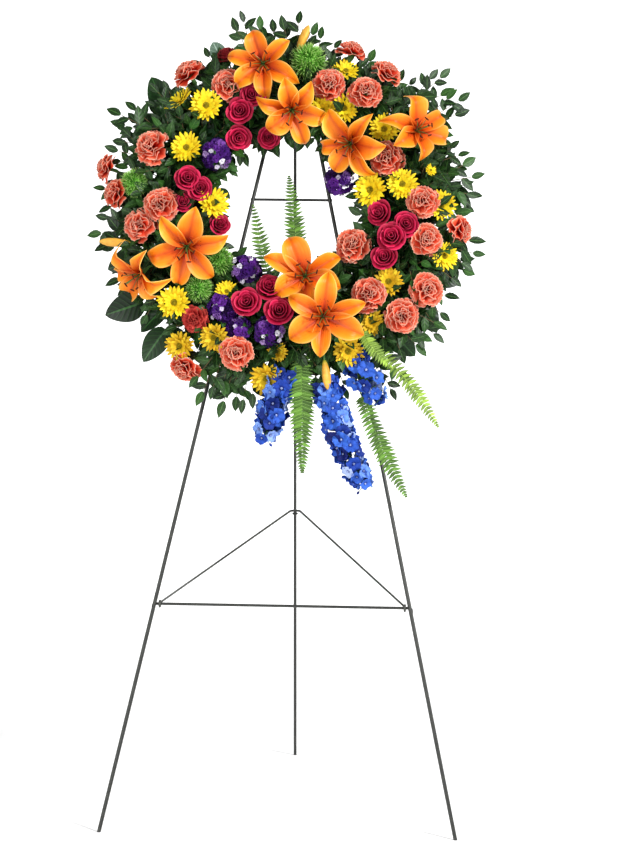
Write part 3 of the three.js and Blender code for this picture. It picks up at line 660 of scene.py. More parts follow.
def root_under(places):
    """Where in the foam the stems of these blooms start: [clock, radius]."""
    mean = sum((on_ring(p[0], p[1], 0) for p in places), Vector()) / len(places)
    reach = max(-26, min(26, mean.length - RING_MIDDLE))
    return math.degrees(math.atan2(mean.x, mean.y)), RING_MIDDLE + reach


def hoop(profile):
    """A ring whose section is a closed profile."""
    return turned([*profile, profile[0]], 120)


def rounded(low_r, high_r, low_z, high_z, corner, steps=5):
    """A rounded rectangle as a closed profile, for a hoop."""
    points = []
    for cx, cz, start in (
        (high_r - corner, low_z + corner, -90), (high_r - corner, high_z - corner, 0),
        (low_r + corner, high_z - corner, 90), (low_r + corner, low_z + corner, 180),
    ):
        for i in range(steps + 1):
            angle = math.radians(start + 90 * i / steps)
            points.append((cx + corner * math.cos(angle), cz + corner * math.sin(angle)))
    return points


foam = hoop(rounded(RING_INNER, RING_OUTER, FOAM_BACK, FOAM_FRONT, 9))
foam.transform(WREATH)
piece("foam_ring_body", foam, [FOAM], FRONT, ["foam_ring"], "floral_foam", smooth=50)

inner, outer = RING_INNER - CONTACT_GAP, RING_OUTER + CONTACT_GAP
half_tray = [(2, TRAY_LIP - 0.4), (1.4, TRAY_LIP), (0.5, TRAY_LIP), (0, TRAY_LIP - 0.6), (0, TRAY_FLOOR)]
tray = hoop([
    (inner - 2, TRAY_BACK + 1), (inner - 1.2, TRAY_BACK),
    (outer + 1.2, TRAY_BACK), (outer + 2, TRAY_BACK + 1),
    *[(outer + wall, z) for wall, z in half_tray], *[(inner - wall, z) for wall, z in reversed(half_tray)],
])
rib_ends = [Vector((inner + 3, 0, TRAY_BACK + 0.3)), Vector((outer - 3, 0, TRAY_BACK + 0.3))]
rib = strand(rib_ends, 0.7, 8)
ribs = [(rib, turn("Z", 15 * i), 0) for i in range(24)]
tray = joined([(tray, STILL, 0), *ribs])
tray.transform(WREATH)
piece("foam_tray_body", tray, [TRAY], FRONT, ["foam_tray"], "tray_plastic", smooth=40)

LOOP_RADIUS, LOOP_HALF, LOOP_FOOT, LOOP_OUT = 1.2, 10, 232, 11
loop_top = HOOK_SLANT - RING_SLANT + HOOK_RADIUS + 0.3 + LOOP_RADIUS
loop_corners = [
    (-LOOP_HALF, LOOP_FOOT), (-LOOP_HALF, loop_top), (LOOP_HALF, loop_top), (LOOP_HALF, LOOP_FOOT)]
loop_path = filleted([Vector((x, y, LOOP_OUT)) for x, y in loop_corners], 6)
loop = strand(loop_path, LOOP_RADIUS, 12)
loop.transform(WREATH)
piece("hanger_loop_wire", loop, [EASEL], FRONT, ["hanger_loop"], "hanger_wire")

STRAP_BACK, STRAP_FRONT = -4.05, FOAM_FRONT + 0.55
STRAP_HALF, STRAP_WIDTH, STRAP_CLOCK, STRAP_SLANT = 54, 4, 147, 117


def strap(side):
    """A flat nylon strap in a square band, whose two long sides pass the ring and the leg."""
    bpy.ops.object.select_all(action="DESELECT")
    bpy.ops.mesh.primitive_cube_add(size=1)
    obj = bpy.context.object
    band = Matrix.Diagonal((2 * STRAP_HALF, STRAP_WIDTH, STRAP_FRONT - STRAP_BACK, 1))
    obj.data.transform(move(0, 0, (STRAP_BACK + STRAP_FRONT) / 2) @ band)
    only(obj)
    bpy.ops.object.mode_set(mode="EDIT")
    bpy.ops.mesh.select_mode(type="FACE")
    bpy.ops.mesh.select_all(action="DESELECT")
    bpy.ops.object.mode_set(mode="OBJECT")
    for face in obj.data.polygons:
        face.select = abs(face.normal.y) > 0.9
    bpy.ops.object.mode_set(mode="EDIT")
    bpy.ops.mesh.delete(type="FACE")
    bpy.ops.mesh.select_mode(type="VERT")
    bpy.ops.object.mode_set(mode="OBJECT")
    finish_with(obj, ("SOLIDIFY", {"thickness": 1.6, "offset": 1.0, "use_even_offset": True}),
                ("BEVEL", {"width": 0.35, "segments": 2}))
    obj.data.uv_layers[0].name = "petal"
    stamp(obj.data, SHEET_TONE)
    mesh = kept_mesh(obj)
    crossing = Matrix.Translation(on_ring(side * STRAP_CLOCK, RING_MIDDLE, 0))
    mesh.transform(crossing @ turn("Z", 90 - side * STRAP_SLANT))
    mesh.transform(WREATH)
    return mesh


for side, name in ((-1, "tie_left"), (1, "tie_right")):
    piece(name + "_strap", strap(side), [STRAP], FRONT, [name], "tie_plastic")


# ------------------------------------------------------------------ blooms, made round +Z in millimetres

def petal_turn(around, lean, base=(0, 0, 0)):
    """Stands a petal (along +Z, facing +Y) at a base, leans it out and turns it round the bloom."""
    return turn("Z", around) @ move(*base) @ turn("X", -lean)


# Petals and florets in a spiral follow each other at this angle.
GOLDEN = 137.508


def make_carnation(seed):
    """A full ruffled dome: fringed petals from flat at the rim to crumpled and upright in the middle."""
    rng = random.Random(seed)
    count = 34
    parts = []
    for i in range(count):
        f = i / (count - 1)
        phase, waves = rng.uniform(0, 6.3), rng.uniform(2.2, 4.0)
        length = 33 - 9 * f + rng.uniform(-2.5, 1.5)
        half = 17 - 6 * f
        ruffle = 3.4 + 2.4 * f

        def place(s, t):
            fan = half * (0.16 + 0.84 * t ** 0.75)
            rim = 1 - 0.18 * s * s
            fringe = 0.9 * (1 if round((s + 1) * 5) % 2 else -1) * t ** 9
            fold = ruffle * t ** 1.5 * math.sin(waves * s + phase)
            crimp = 0.8 * t ** 3 * math.sin(8 * s + 2 * phase)
            droop = 4.0 * (1 - f) * t ** 2.5
            return Vector((fan * s, fold + crimp + droop, length * t * rim + fringe))

        lean = 90 - 84 * f ** 0.8 + rng.uniform(-8, 8)
        around = GOLDEN * i + rng.uniform(-14, 14)
        stack = (0, 2.0 * (1 - f), -7 + 6 * f)
        parts.append((sheet(10, 5, place), petal_turn(around, lean, stack), 0, rng.uniform(0.1, 1)))
    bloom = thickened(joined(parts), 0.45)
    calyx = turned([(0, -25), (3.4, -25), (4.2, -22), (4.0, -12), (5.6, -5), (4.8, -4), (0, -6)], 14)
    return joined([(bloom, STILL, None), (calyx, STILL, 1)])


def make_rose(seed):
    """A spray rose, half open: a tight heart, then cupped petals whose lips roll out."""
    rng = random.Random(seed)
    parts = []
    start = 0
    for count, radius, top, spread, lip in (
        (3, 3.0, 17.0, 75, 0.6), (3, 6.2, 17.5, 66, 1.4), (4, 10.0, 16.0, 56, 2.6),
        (5, 14.5, 13.0, 47, 4.2), (5, 19.0, 8.0, 44, 5.5),
    ):
        start += 37
        for i in range(count):
            reach = radius * rng.uniform(0.94, 1.07)
            height = top + rng.uniform(-1.3, 1.3)
            phase = rng.uniform(0, 6.3)
            skew = rng.uniform(-0.25, 0.25)

            def place(s, t):
                edge = 1 - 0.3 * abs(s) ** 2.6
                rise = t * edge
                belly = reach * (0.28 + 0.72 * math.sin(min(1.0, rise * 1.2) * math.pi / 2))
                roll = max(0.0, t - 0.66) / 0.34
                uneven = (0.7 * math.sin(3 * s + phase) + skew * 4 * s) * roll
                r = belly + lip * roll ** 2 * (1 - 0.4 * s * s) + uneven
                z = -9 + (height + 9) * rise - 0.45 * lip * roll ** 3
                angle = math.radians(s * spread) * (0.5 + 0.5 * math.sin(min(1.0, t * 1.4) * math.pi / 2))
                return Vector((r * math.sin(angle), r * math.cos(angle), z))

            around = start + 360 * i / count + rng.uniform(-9, 9)
            parts.append((sheet(8, 7, place), turn("Z", around), 0, rng.uniform(0.15, 1)))
    bloom = thickened(joined(parts), 0.5)
    hip = turned([(0, -17), (2.2, -17), (4.6, -13), (5.0, -9), (3.5, -6), (0, -6)], 12)

    def sepal_shape(s, t):
        return Vector((3.4 * s * math.sin(math.pi * (0.25 + 0.75 * t)), 0.5 * t, 20 * t))

    sepal = thickened(sheet(2, 5, sepal_shape), 0.5)
    sepals = [(sepal, petal_turn(72 * i + 20, 62, (0, 3, -10)), 1) for i in range(5)]
    return joined([(bloom, STILL, None), (hip, STILL, 1), *sepals])


def make_mum(seed):
    """A daisy mum: three rings of narrow channelled rays round a button of tiny florets."""
    rng = random.Random(seed)
    parts = []
    for count, length, lean, base in ((20, 26, 84, 3.5), (18, 23, 72, 3.0), (13, 17, 56, 2.4)):
        for i in range(count):
            reach = length * rng.uniform(0.9, 1.06)
            twist = rng.uniform(-0.25, 0.25)

            def place(s, t):
                outline = 0.45 + 0.55 * math.sin(math.pi * min(1.0, 0.15 + t * 0.62))
                half = 3.5 * outline * (1 - t ** 7 * 0.75)
                channel = 1.1 * s * s * (1 - t) + 1.4 * s * twist
                return Vector((half * s, channel - 2.6 * t * t, reach * t))

            around = 360 * i / count + rng.uniform(-5, 5) + length
            tilt = lean + rng.uniform(-8, 8)
            parts.append((sheet(2, 5, place), petal_turn(around, tilt, (0, base, 1)), 0, rng.uniform(0.2, 1)))
    rays = thickened(joined(parts), 0.5)
    floret = turned([(0, 0), (0.9, 0.3), (0.8, 1.6), (0, 2.4)], 5)
    eye = []
    eye_florets = 60
    for i in range(eye_florets):
        f = math.sqrt((i + 0.5) / eye_florets)
        spot = turn("Z", GOLDEN * i) @ move(0, 5.8 * f, 3.6 - 2.2 * f * f) @ turn("X", -50 * f)
        eye.append((floret, spot, 1, rng.uniform(0.2, 1)))
    bed = turned([(0, -5), (3, -5), (6.4, -0.5), (5.6, 2.2), (0, 4.2)], 14)
    calyx = turned([(0, -9), (2.0, -9), (5.5, -3.5), (6.8, -0.8), (5.0, -1.5), (0, -2)], 12)
    return joined([(rays, STILL, None), *eye, (bed, STILL, 1, 0.3), (calyx, STILL, 2)])


def make_lily(seed, reach):
    """An Asiatic lily: three wide and three narrower recurved petals, six stamens and a pistil."""
    rng = random.Random(seed)
    parts = []
    for i in range(6):
        wide = i % 2 == 0
        half = (19 if wide else 14.5) * reach / 66 * rng.uniform(0.88, 1.12)
        curl = rng.uniform(8, 38)
        wave = rng.uniform(0, 6.3)
        rise = 20 + rng.uniform(-5, 5)
        length = reach * rng.uniform(0.86, 1.1)

        def place(s, t):
            outline = math.sin(math.pi * (0.1 + 0.9 * t) ** 1.06) ** 0.86 if t < 1 else 0.0
            tip = max(0.0, t - 0.62) / 0.38
            r = length * (t - 0.09 * tip ** 2)
            lift = 3 + rise * math.sin(t * math.pi * 0.62) - curl * tip ** 2
            groove = -1.6 * math.exp(-(s / 0.18) ** 2) * math.sin(math.pi * t)
            trough = 10.5 * s * s * (1 - 1.25 * tip) + 3.0 * abs(s) ** 3 * math.sin(7 * t + wave)
            return Vector((half * outline * s, -(lift + groove + trough), r))

        flat = turn("Z", 60 * i + rng.uniform(-11, 11)) @ turn("X", -90) @ move(0, 0 if wide else 1.4, 2.5)
        parts.append((sheet(8, 14, place), flat, 0, rng.uniform(0.4, 1)))
    petals = thickened(joined(parts), 0.9)
    flower = [(petals, STILL, None)]
    for i in range(6):
        lean = math.radians(rng.uniform(24, 34))
        tip = Vector((0, 39 * math.sin(lean), 6 + 33 * math.cos(lean)))
        filament = strand([Vector((0, 1.5, 2)), Vector((0, tip.y * 0.4, 21)), tip], 0.75, 6, 0.7, smooth=True)
        anther = turned([(0, -5), (1.3, -3.8), (1.55, 0), (1.3, 3.8), (0, 5)], 8)
        around = turn("Z", 60 * i + 30 + rng.uniform(-9, 9))
        flower.append((filament, around, 2, 0.8))
        flower.append((anther, around @ Matrix.Translation(tip) @ turn("Y", 80) @ turn("X", 20), 1, 0.7))
    pistil = strand([Vector((0, 0, 2)), Vector((1, 0, 24)), Vector((3, 1, 45))], 1.1, 8, 0.9, smooth=True)
    stigma = turned([(0, 0), (2.0, 0.8), (2.3, 2.2), (0, 3)], 9)
    flower += [(pistil, STILL, 2, 0.9), (stigma, move(3, 1, 44.5), 1, 0.4)]
    neck = turned([(0, -14), (2.4, -14), (4.2, -4), (6.5, 4), (5, 4.4), (0, 2)], 12)
    flower.append((neck, STILL, 2, 0.5))
    return joined(flower)


def make_lily_bud(length):
    """A closed bud: three broad seams, swollen past the middle."""
    drawn = 70
    profile = [
        (0, 0), (2.2, 0.5), (4.4, 8), (6.6, 22), (8.0, 38), (7.4, 52), (4.6, 63), (1.6, 69), (0, drawn)]
    bud = turned([(r, z * length / drawn) for r, z in profile], 18)
    for vertex in bud.vertices:
        angle = math.atan2(vertex.co.y, vertex.co.x)
        swell = 1 + 0.09 * math.cos(3 * angle)
        vertex.co.x *= swell
        vertex.co.y *= swell
    uv = bud.uv_layers[0].data
    for corner in bud.loops:
        co = bud.vertices[corner.vertex_index].co
        uv[corner.index].uv = (0.5 + math.atan2(co.y, co.x) / (2 * math.pi), co.z / length)
    return bud


def make_floret(seed, length, half, lean, ruffle, layers=1):
    """A small open flower of five rounded petals a layer."""
    rng = random.Random(seed)
    petals = 5
    parts = []
    for layer in range(layers):
        shrink = 1 - 0.24 * layer
        for i in range(petals):
            phase = rng.uniform(0, 6.3)

            def place(s, t):
                outline = 0.25 + 0.75 * math.sin(math.pi * (0.12 + 0.72 * t))
                wave = ruffle * t * t * math.sin(3.4 * s + phase)
                return Vector((half * shrink * outline * s * (1 - 0.35 * t ** 6), wave + 1.5 * s * s * t,
                               length * shrink * t * (1 - 0.1 * s * s)))

            around = 360 * (i + 0.5 * layer) / petals + rng.uniform(-8, 8)
            tilt = lean - 24 * layer + rng.uniform(-8, 8)
            stand = petal_turn(around, tilt, (0, 0.8, layer))
            parts.append((sheet(4, 4, place), stand, 0, rng.uniform(0.2, 1)))
    return thickened(joined(parts), 0.4)


def make_stock_head(seed, radius):
    """The blunt tip of a stock spike, packed with ruffled florets, about a fifth of them small and pale."""
    rng = random.Random(seed)
    florets = [make_floret(seed + k, 12.0, 7.6, 66, 2.4, layers=2) for k in range(3)]
    parts = []
    count = 34
    for i in range(count):
        f = (i + 0.5) / count
        fall, around = math.acos(1 - 1.25 * f), math.radians(GOLDEN * i)
        out = Vector((math.sin(fall) * math.cos(around), math.sin(fall) * math.sin(around), math.cos(fall)))
        spot = Vector((out.x, out.y, out.z * 0.8)) * radius * rng.uniform(0.66, 0.92) + Vector((0, 0, -5))
        jitter = Vector((rng.uniform(-1, 1), rng.uniform(-1, 1), rng.uniform(-0.5, 1))) * 0.4
        aim = aimed((out + jitter).normalized())
        pale = rng.random() < 0.2
        scale = rng.uniform(0.35, 0.55) if pale else rng.uniform(0.6, 1)
        if pale:
            spot *= 1.12
        matrix = Matrix.Translation(spot) @ aim @ turn("Z", rng.uniform(0, 360)) @ Matrix.Scale(scale, 4)
        parts.append((florets[i % 3], matrix, 0, rng.uniform(0.84, 1) if pale else rng.uniform(0, 0.78)))
    core = turned([
        (0, -26), (3, -25), (radius * 0.5, -12), (radius * 0.62, -2), (radius * 0.4, 8), (0, 11)], 12)
    return joined([*parts, (core, STILL, 1)])


def make_dianthus(seed, radius):
    """A ball of fine green bracts, like moss on a drumstick."""
    rng = random.Random(seed)

    def place(s, t):
        return Vector((0.95 * s * (1 - t ** 2) + 0.001, 2 * t * t, 11 * t))

    bract = thickened(sheet(2, 3, place), 0.4)
    parts = []
    count = 520
    for i in range(count):
        up = 1 - 1.72 * (i + 0.5) / count
        around = math.radians(GOLDEN * i)
        ring = math.sqrt(max(0.0, 1 - up * up))
        out = Vector((ring * math.cos(around), ring * math.sin(around), up))
        jitter = Vector((rng.uniform(-1, 1), rng.uniform(-1, 1), rng.uniform(-1, 1))) * 0.35
        stand = Matrix.Translation(out * (radius - 9)) @ aimed((out + jitter).normalized())
        matrix = stand @ turn("Z", rng.uniform(0, 360)) @ Matrix.Scale(rng.uniform(0.8, 1.15), 4)
        parts.append((bract, matrix, 0, rng.uniform(0.1, 1)))
    core = turned([
        (0, -radius * 0.8), (radius * 0.45, -radius * 0.65), (radius - 9, 0), (radius * 0.45, radius * 0.62),
        (0, radius - 9)], 14)
    return joined([*parts, (core, STILL, 1, 0.2)])


def run_along(points):
    """A smooth path through a few points: returns at(t) for the place and heading(t) for the direction."""
    def at(t):
        span = t * (len(points) - 1)
        i = min(int(span), len(points) - 2)
        u = span - i
        p0, p1 = points[max(i - 1, 0)], points[i]
        p2, p3 = points[i + 1], points[min(i + 2, len(points) - 1)]
        return 0.5 * ((2 * p1) + (p2 - p0) * u + (2 * p0 - 5 * p1 + 4 * p2 - p3) * u * u
                      + (3 * p1 - p0 - 3 * p2 + p3) * u ** 3)

    def heading(t):
        return (at(min(1, t + 0.02)) - at(max(0, t - 0.02))).normalized()

    return at, heading


def frame_of(place, along, face):
    """A matrix whose +Z runs along a direction and whose +Y looks towards face."""
    z = along.normalized()
    x = face.cross(z).normalized()
    y = z.cross(x)
    matrix = Matrix((x, y, z)).transposed().to_4x4()
    matrix.translation = place
    return matrix


def leaf_sheet(length, half, fold, bow, belly, blunt, across, along, thickness):
    """A leaf along +Z, facing +Y: an oval, widest before the middle, folded on its midrib and bowed back."""
    def place(s, t):
        outline = math.sin(math.pi * (0.05 + 0.95 * t) ** belly) ** blunt if t < 1 else 0.0
        return Vector((half * outline * s, fold * abs(s) * outline - bow * t * t, length * t))

    return thickened(sheet(across, along, place), thickness)


HUCKLEBERRY_LEAF = leaf_sheet(21, 5.7, 1.4, 3.0, 0.8, 0.85, 2, 4, 0.4)
PINNA_LENGTH = 21
PINNA = leaf_sheet(PINNA_LENGTH, 3.8, 0.8, 2.0, 0.5, 0.85, 2, 4, 0.4)
SALAL_LENGTH, SALAL_HALF = 64, 21
SALAL_LEAF = leaf_sheet(SALAL_LENGTH, SALAL_HALF, 4.0, 12.0, 0.82, 0.7, 8, 14, 0.6)
ROUND_LENGTH, ROUND_HALF = 34, 17
ROUND_LEAF = leaf_sheet(ROUND_LENGTH, ROUND_HALF, 1.5, 3.0, 0.9, 0.55, 6, 9, 0.5)
LEAF_STEP = 8.0


def huckleberry(rng, points, size):
    """A woody twig with small leaves set alternately along it. Leaf slot 0, twig slot 1."""
    at, heading = run_along(points)
    length = sum((b - a).length for a, b in zip(points, points[1:]))
    count = max(4, int(length * 0.86 / (LEAF_STEP * size)))
    parts = [(strand([at(i / 7) for i in range(8)], 1.1, 6, 0.5), STILL, 1, 0.5)]
    for i in range(count):
        t = 0.2 + 0.78 * i / (count - 1)
        side = 1 if i % 2 else -1
        swing = side * rng.uniform(42, 62) if i < count - 1 else 0
        grow = size * rng.uniform(0.8, 1.12) * (1 - 0.25 * t)
        nod, roll = turn("X", rng.uniform(-28, 8)), turn("Z", side * rng.uniform(-25, 25))
        matrix = frame_of(at(t), heading(t), OUTWARD) @ turn("Y", swing) @ nod @ roll @ Matrix.Scale(grow, 4)
        parts.append((HUCKLEBERRY_LEAF, matrix, 0, rng.uniform(0, 1)))
    return parts


def fern_frond(rng, points, half, pairs, slot):
    """A sword fern frond: a thin rib with close pairs of narrow leaflets that shorten to the tip."""
    at, heading = run_along(points)
    parts = [(strand([at(i / 11) for i in range(12)], 1.0, 6, 0.4), STILL, slot, 0.9)]
    for i in range(pairs):
        t = 0.06 + 0.92 * i / (pairs - 1)
        outline = math.sin(math.pi * (0.22 + t * 0.5)) if t < 0.55 else 1.9 * (1.03 - t) ** 0.8
        reach = half / PINNA_LENGTH * outline
        matrix = frame_of(at(t), heading(t), OUTWARD)
        scale = Matrix.Diagonal((max(0.5, reach ** 0.5), 1, max(0.16, reach), 1))
        for side in (-1, 1):
            lean = turn("Y", side * (82 - 24 * t + rng.uniform(-4, 4)))
            tilt = turn("X", rng.uniform(-12, 12))
            parts.append((PINNA, matrix @ lean @ tilt @ scale, slot, rng.uniform(0.2, 1)))
    return parts


DELPHINIUM_FLORET = [make_floret(70 + k, 13, 7.6, 62, 1.8) for k in range(3)]
DELPHINIUM_BUD = turned([(0, -4), (2.6, -2), (3.2, 2), (0, 6)], 7)
BEE_TUFT = turned([(0, -1), (1.1, 0), (1.9, 2.4), (0.9, 3.6), (0, 2.8)], 6)


def delphinium(rng, points, radius, count):
    """A spike of blue florets with pale eyes that ends in buds. Material slots: sepals 0, eyes 1, stem 2."""
    at, heading = run_along(points)
    parts = [(strand([at(i / 7) for i in range(8)], 2.0, 6, 0.4), STILL, 2, 0.6)]
    for i in range(count):
        t = 0.03 + 0.94 * i / (count - 1)
        shrink = 1.0 if t < 0.55 else 1 - 0.75 * (t - 0.55) / 0.45
        around = math.radians(GOLDEN * i)
        base = frame_of(at(t), heading(t), OUTWARD)
        out = base.to_3x3() @ Vector((math.cos(around), math.sin(around), rng.uniform(-0.2, 0.6)))
        spot = at(t) + out * radius * rng.uniform(0.42, 0.72) * (0.5 + 0.5 * shrink)
        matrix = Matrix.Translation(spot) @ aimed(out.normalized()) @ turn("Z", rng.uniform(0, 360))
        parts.append((strand([at(t), spot], 0.6, 4), STILL, 2, 0.5))
        if shrink < 0.4:
            parts.append((DELPHINIUM_BUD, matrix @ Matrix.Scale(0.5 + shrink, 4), 0, rng.uniform(0, 0.7)))
            continue
        scale = Matrix.Scale(radius / 26 * (0.6 + 0.4 * shrink) * rng.uniform(0.85, 1.15), 4)
        parts.append((DELPHINIUM_FLORET[i % 3], matrix @ scale, 0, rng.random()))
        parts.append((BEE_TUFT, matrix @ scale, 1, rng.uniform(0, 1)))
    return parts


# ------------------------------------------------------------------ the arrangement

rng = random.Random(11)
CARNATIONS = [make_carnation(seed) for seed in (1, 2, 3)]
ROSES = [make_rose(seed) for seed in (4, 5, 6)]
MUMS = [make_mum(seed) for seed in (7, 8)]
STOCK_HEADS = [make_stock_head(seed, 28) for seed in (20, 30)]
DIANTHUS_BALL = make_dianthus(40, 28)

# Blooms by spray. A place is (clock, radius, lift above the crown line), and may go on with the bloom's own
# radius and how many degrees further out it nods.
SPRAYS = [
    ("roses_upper_left", "rose", [
        (332, 196, 4, 26), (341, 214, 6, 25), (323, 158, 0, 25), (343, 138, -6, 22)]),
    ("roses_left", "rose", [(284, 190, 4, 25), (280, 165, 2, 24), (271, 190, -4, 20), (255, 131, -6, 21)]),
    ("roses_right", "rose", [(95, 167, 4), (100, 217, 8), (108, 199, 12, 28), (119, 202, 6)]),
    ("roses_bottom", "rose", [(201, 197, 6, 28), (191, 158, 6, 27), (183, 199, 8, 28)]),
    ("carnations_top_left", "carnation", [(323, 318, 0, 29, 34), (333, 254, -4, 29)]),
    ("carnations_upper_left", "carnation", [
        (293, 275, 4, 31, 8), (283, 348, 0, 25, 34), (275, 321, -8, 27, 26)]),
    ("carnations_left", "carnation", [(269, 232, 4), (262, 272, -4)]),
    ("carnations_top", "carnation", [(17, 236, 2, 29), (33, 251, 6, 29)]),
    ("carnations_top_right", "carnation", [(20, 316, 0, 26, 44), (34, 308, 0, 28, 34)]),
    ("carnation_upper_right", "carnation", [(63, 197, -2)]),
    ("carnations_right", "carnation", [(88, 243, 2, 28), (104, 258, 4, 28), (97, 314, -4, 26, 36)]),
    ("carnation_inner_right", "carnation", [(121, 137, 2)]),
    ("carnation_lower_right", "carnation", [(138, 223, 4)]),
    ("carnations_lower_right", "carnation", [(121, 295, 4, 29), (134, 290, 6)]),
    ("carnations_bottom_left", "carnation", [(198, 287, 4, 29), (212, 346, 0, 28, 24)]),
    ("mums_upper_left", "mum", [(314, 284, -6, 28, 38), (320, 241, -2, 29), (299, 216, -4, 28)]),
    ("mums_left", "mum", [(272, 138, -2, 29), (228, 273, 2, 29), (214, 194, -10, 20)]),
    ("mums_bottom_left", "golden_mum", [
        (208, 276, -8), (217, 321, -4), (186, 317, 2, 30), (183, 268, -14, 18)]),
    ("mums_bottom_right", "golden_mum", [(157, 288, -6, 28), (144, 262, -10, 24), (127, 230, -12, 26)]),
    ("mums_right", "mum", [
        (78, 152, 0, 30), (79, 210, -2, 28), (89, 277, -6, 27), (107, 297, -6, 25), (75, 266, -2, 11, 20)]),
    ("mums_top_right", "mum", [(18, 187, -6, 26), (28, 209, -12, 26), (50, 224, -6, 27), (21, 276, -10, 23)]),
    ("stock_upper_left", "stock", [(306, 164, -8, 31)]),
    ("stock_inner_right", "stock", [(57, 104, -2, 29)]),
    ("stock_bottom", "stock", [
        (213, 138, -4, 31), (211, 221, -10, 28), (187, 236, -8, 30), (201, 246, -16, 26)]),
    ("dianthus_top", "dianthus", [(6, 276, -10, 34)]),
    ("dianthus_left", "dianthus", [(279, 288, -14, 26), (231, 163, -8, 28), (226, 222, -16, 26)]),
]
# One red carnation and one burgundy rose stand on stems of their own among the others.
SINGLES = [
    ("red_carnation", "red_carnation", [(218, 268, -6, 24, 10)]),
    ("burgundy_rose", "dark_rose", [(337, 312, -6, 23, 20)]),
]

# Each kind's meshes, radius, drop from its place to the top of its stem, stem radius, materials and slot.
KINDS = {
    "carnation": (CARNATIONS, 30, 24, 1.8, [CARNATION, STEM], "carnation_petal"),
    "red_carnation": (CARNATIONS, 30, 24, 1.8, [RED_CARNATION, STEM], "carnation_petal"),
    "rose": (ROSES, 25, 16, 1.6, [ROSE, STEM], "rose_petal"),
    "dark_rose": (ROSES, 25, 16, 1.6, [DARK_ROSE, STEM], "rose_petal"),
    "mum": (MUMS, 27, 8, 1.4, [MUM, MUM_EYE, STEM], "mum_petal"),
    "golden_mum": (MUMS, 27, 8, 1.4, [GOLDEN_MUM, MUM_EYE, STEM], "mum_petal"),
    "stock": (STOCK_HEADS, 30, 25, 2.0, [STOCK, STEM], "stock_floret"),
    "dianthus": ([DIANTHUS_BALL], 28, 20, 1.8, [DIANTHUS, DIANTHUS, STEM], "dianthus_ball"),
}


def top_of_stem(matrix, drop):
    """Where a bloom's stem ends and which way it points there."""
    aim = (matrix.to_3x3() @ OUTWARD).normalized()
    return matrix.translation - aim * drop, aim


def stem_from(root, top, aim, radius):
    """A stem that leaves the foam upright and bends to meet the underside of its bloom."""
    start = on_ring(*root, STEM_END)
    knee = on_ring(*root, FOAM_FRONT - 2).lerp(top, 0.25)
    return strand([start, knee, top - aim * 6, top], radius, 6, 0.9, smooth=True)


# This spray's stems start to one side, and not under the middle of its blooms.
OWN_ROOT = {"mums_bottom_right": (141, 196)}

for name, kind, places in [*SPRAYS, *SINGLES]:
    meshes, own_radius, drop, stem_radius, materials, slot = KINDS[kind]
    root = OWN_ROOT.get(name) or root_under(places)
    parts = []
    for place in places:
        size = (place[3] if len(place) > 3 else own_radius) / own_radius
        nod = (place[0], place[4] if len(place) > 4 else rng.uniform(-9, 9))
        matrix = head_at(place, rng.uniform(0, 360), size, nod)
        parts.append((meshes[rng.randrange(len(meshes))], matrix, None))
        top, aim = top_of_stem(matrix, drop * size)
        parts.append((stem_from(root, top, aim, stem_radius), STILL, len(materials) - 1, 0.5))
    alone = any(name == single[0] for single in SINGLES)
    wreath_piece(name + "_spray", parts, materials, None if alone else name, slot)

# Lilies: place, petal length, spin, which way it nods and how far, and its bud's base and tip.
LILIES = [
    ("lily_top", (349, 266, 16), 70, 8, (186, 24), ((2, 290, 88), (5, 343, 88))),
    ("lily_inner_top", (1, 174, 22), 70, 14, (160, 20), None),
    ("lily_upper_right", (45, 161, 20), 71, 32, (210, 20), None),
    ("lily_right", (59, 265, 16), 66, 12, (120, 20), None),
    ("lily_left", (245, 198, 22), 74, -12, (190, 32), None),
    ("lily_outer_left", (244, 290, 14), 66, 34, (214, 46), ((256, 290, 74), (259, 352, 76))),
    ("lily_inner_bottom", (166, 137, 16), 80, 12, (160, 24), None),
    ("lily_bottom", (162, 222, 26), 78, -2, (180, 10), ((166, 292, 86), (167, 346, 84))),
]
for seed, (name, place, reach, spin, nod, bud) in enumerate(LILIES):
    root = root_under([place])
    matrix = head_at(place, spin, 1, nod)
    top, aim = top_of_stem(matrix, 12)
    parts = [(make_lily(50 + seed, reach), matrix, None), (stem_from(root, top, aim, 2.2), STILL, 2, 0.5)]
    if bud:
        base, tip = on_ring(*bud[0]), on_ring(*bud[1])
        along = (tip - base).normalized()
        parts.append((make_lily_bud((tip - base).length), frame_of(base, along, OUTWARD), 3, 0.8))
        fork = on_ring(*root, STEM_END).lerp(top, 0.62)
        side_stem = [fork, fork.lerp(base, 0.6) + OUTWARD * 3, base + along * 2]
        parts.append((strand(side_stem, 1.6, 6, smooth=True), STILL, 2, 0.5))
    wreath_piece(name + "_flower", parts, [LILY, ANTHER, STEM, BUD], name, "lily_petal")


def lead_in(root, knee_height, point, radius):
    """The bare stem of a spike or frond, from the foam to where its run starts."""
    path = [on_ring(*root, STEM_END), on_ring(*root, knee_height), point]
    return strand(path, radius, 6, smooth=True)


def spike_piece(name, root, radius, spikes):
    """Delphinium spikes from one root. Each is its run of places and how many florets it has."""
    parts = []
    for run, count in spikes:
        points = [on_ring(*at) for at in run]
        parts += delphinium(rng, points, radius, count)
        parts.append((lead_in(root, FOAM_FRONT + 7, points[0], 2), STILL, 2, 0.5))
    wreath_piece(name + "_spike", parts, [DELPHINIUM, BEE, STEM], name, "delphinium_floret")


spike_piece("delphinium_left", (190, 236), 33, [
    ([(180, 296, 62), (183, 360, 58), (185, 426, 44)], 44),
])
spike_piece("delphinium_right", (160, 238), 31, [
    ([(167, 326, 60), (166, 430, 58), (164, 530, 42)], 74),
    ([(156, 296, 56), (155, 340, 54), (154, 388, 46)], 26),
])


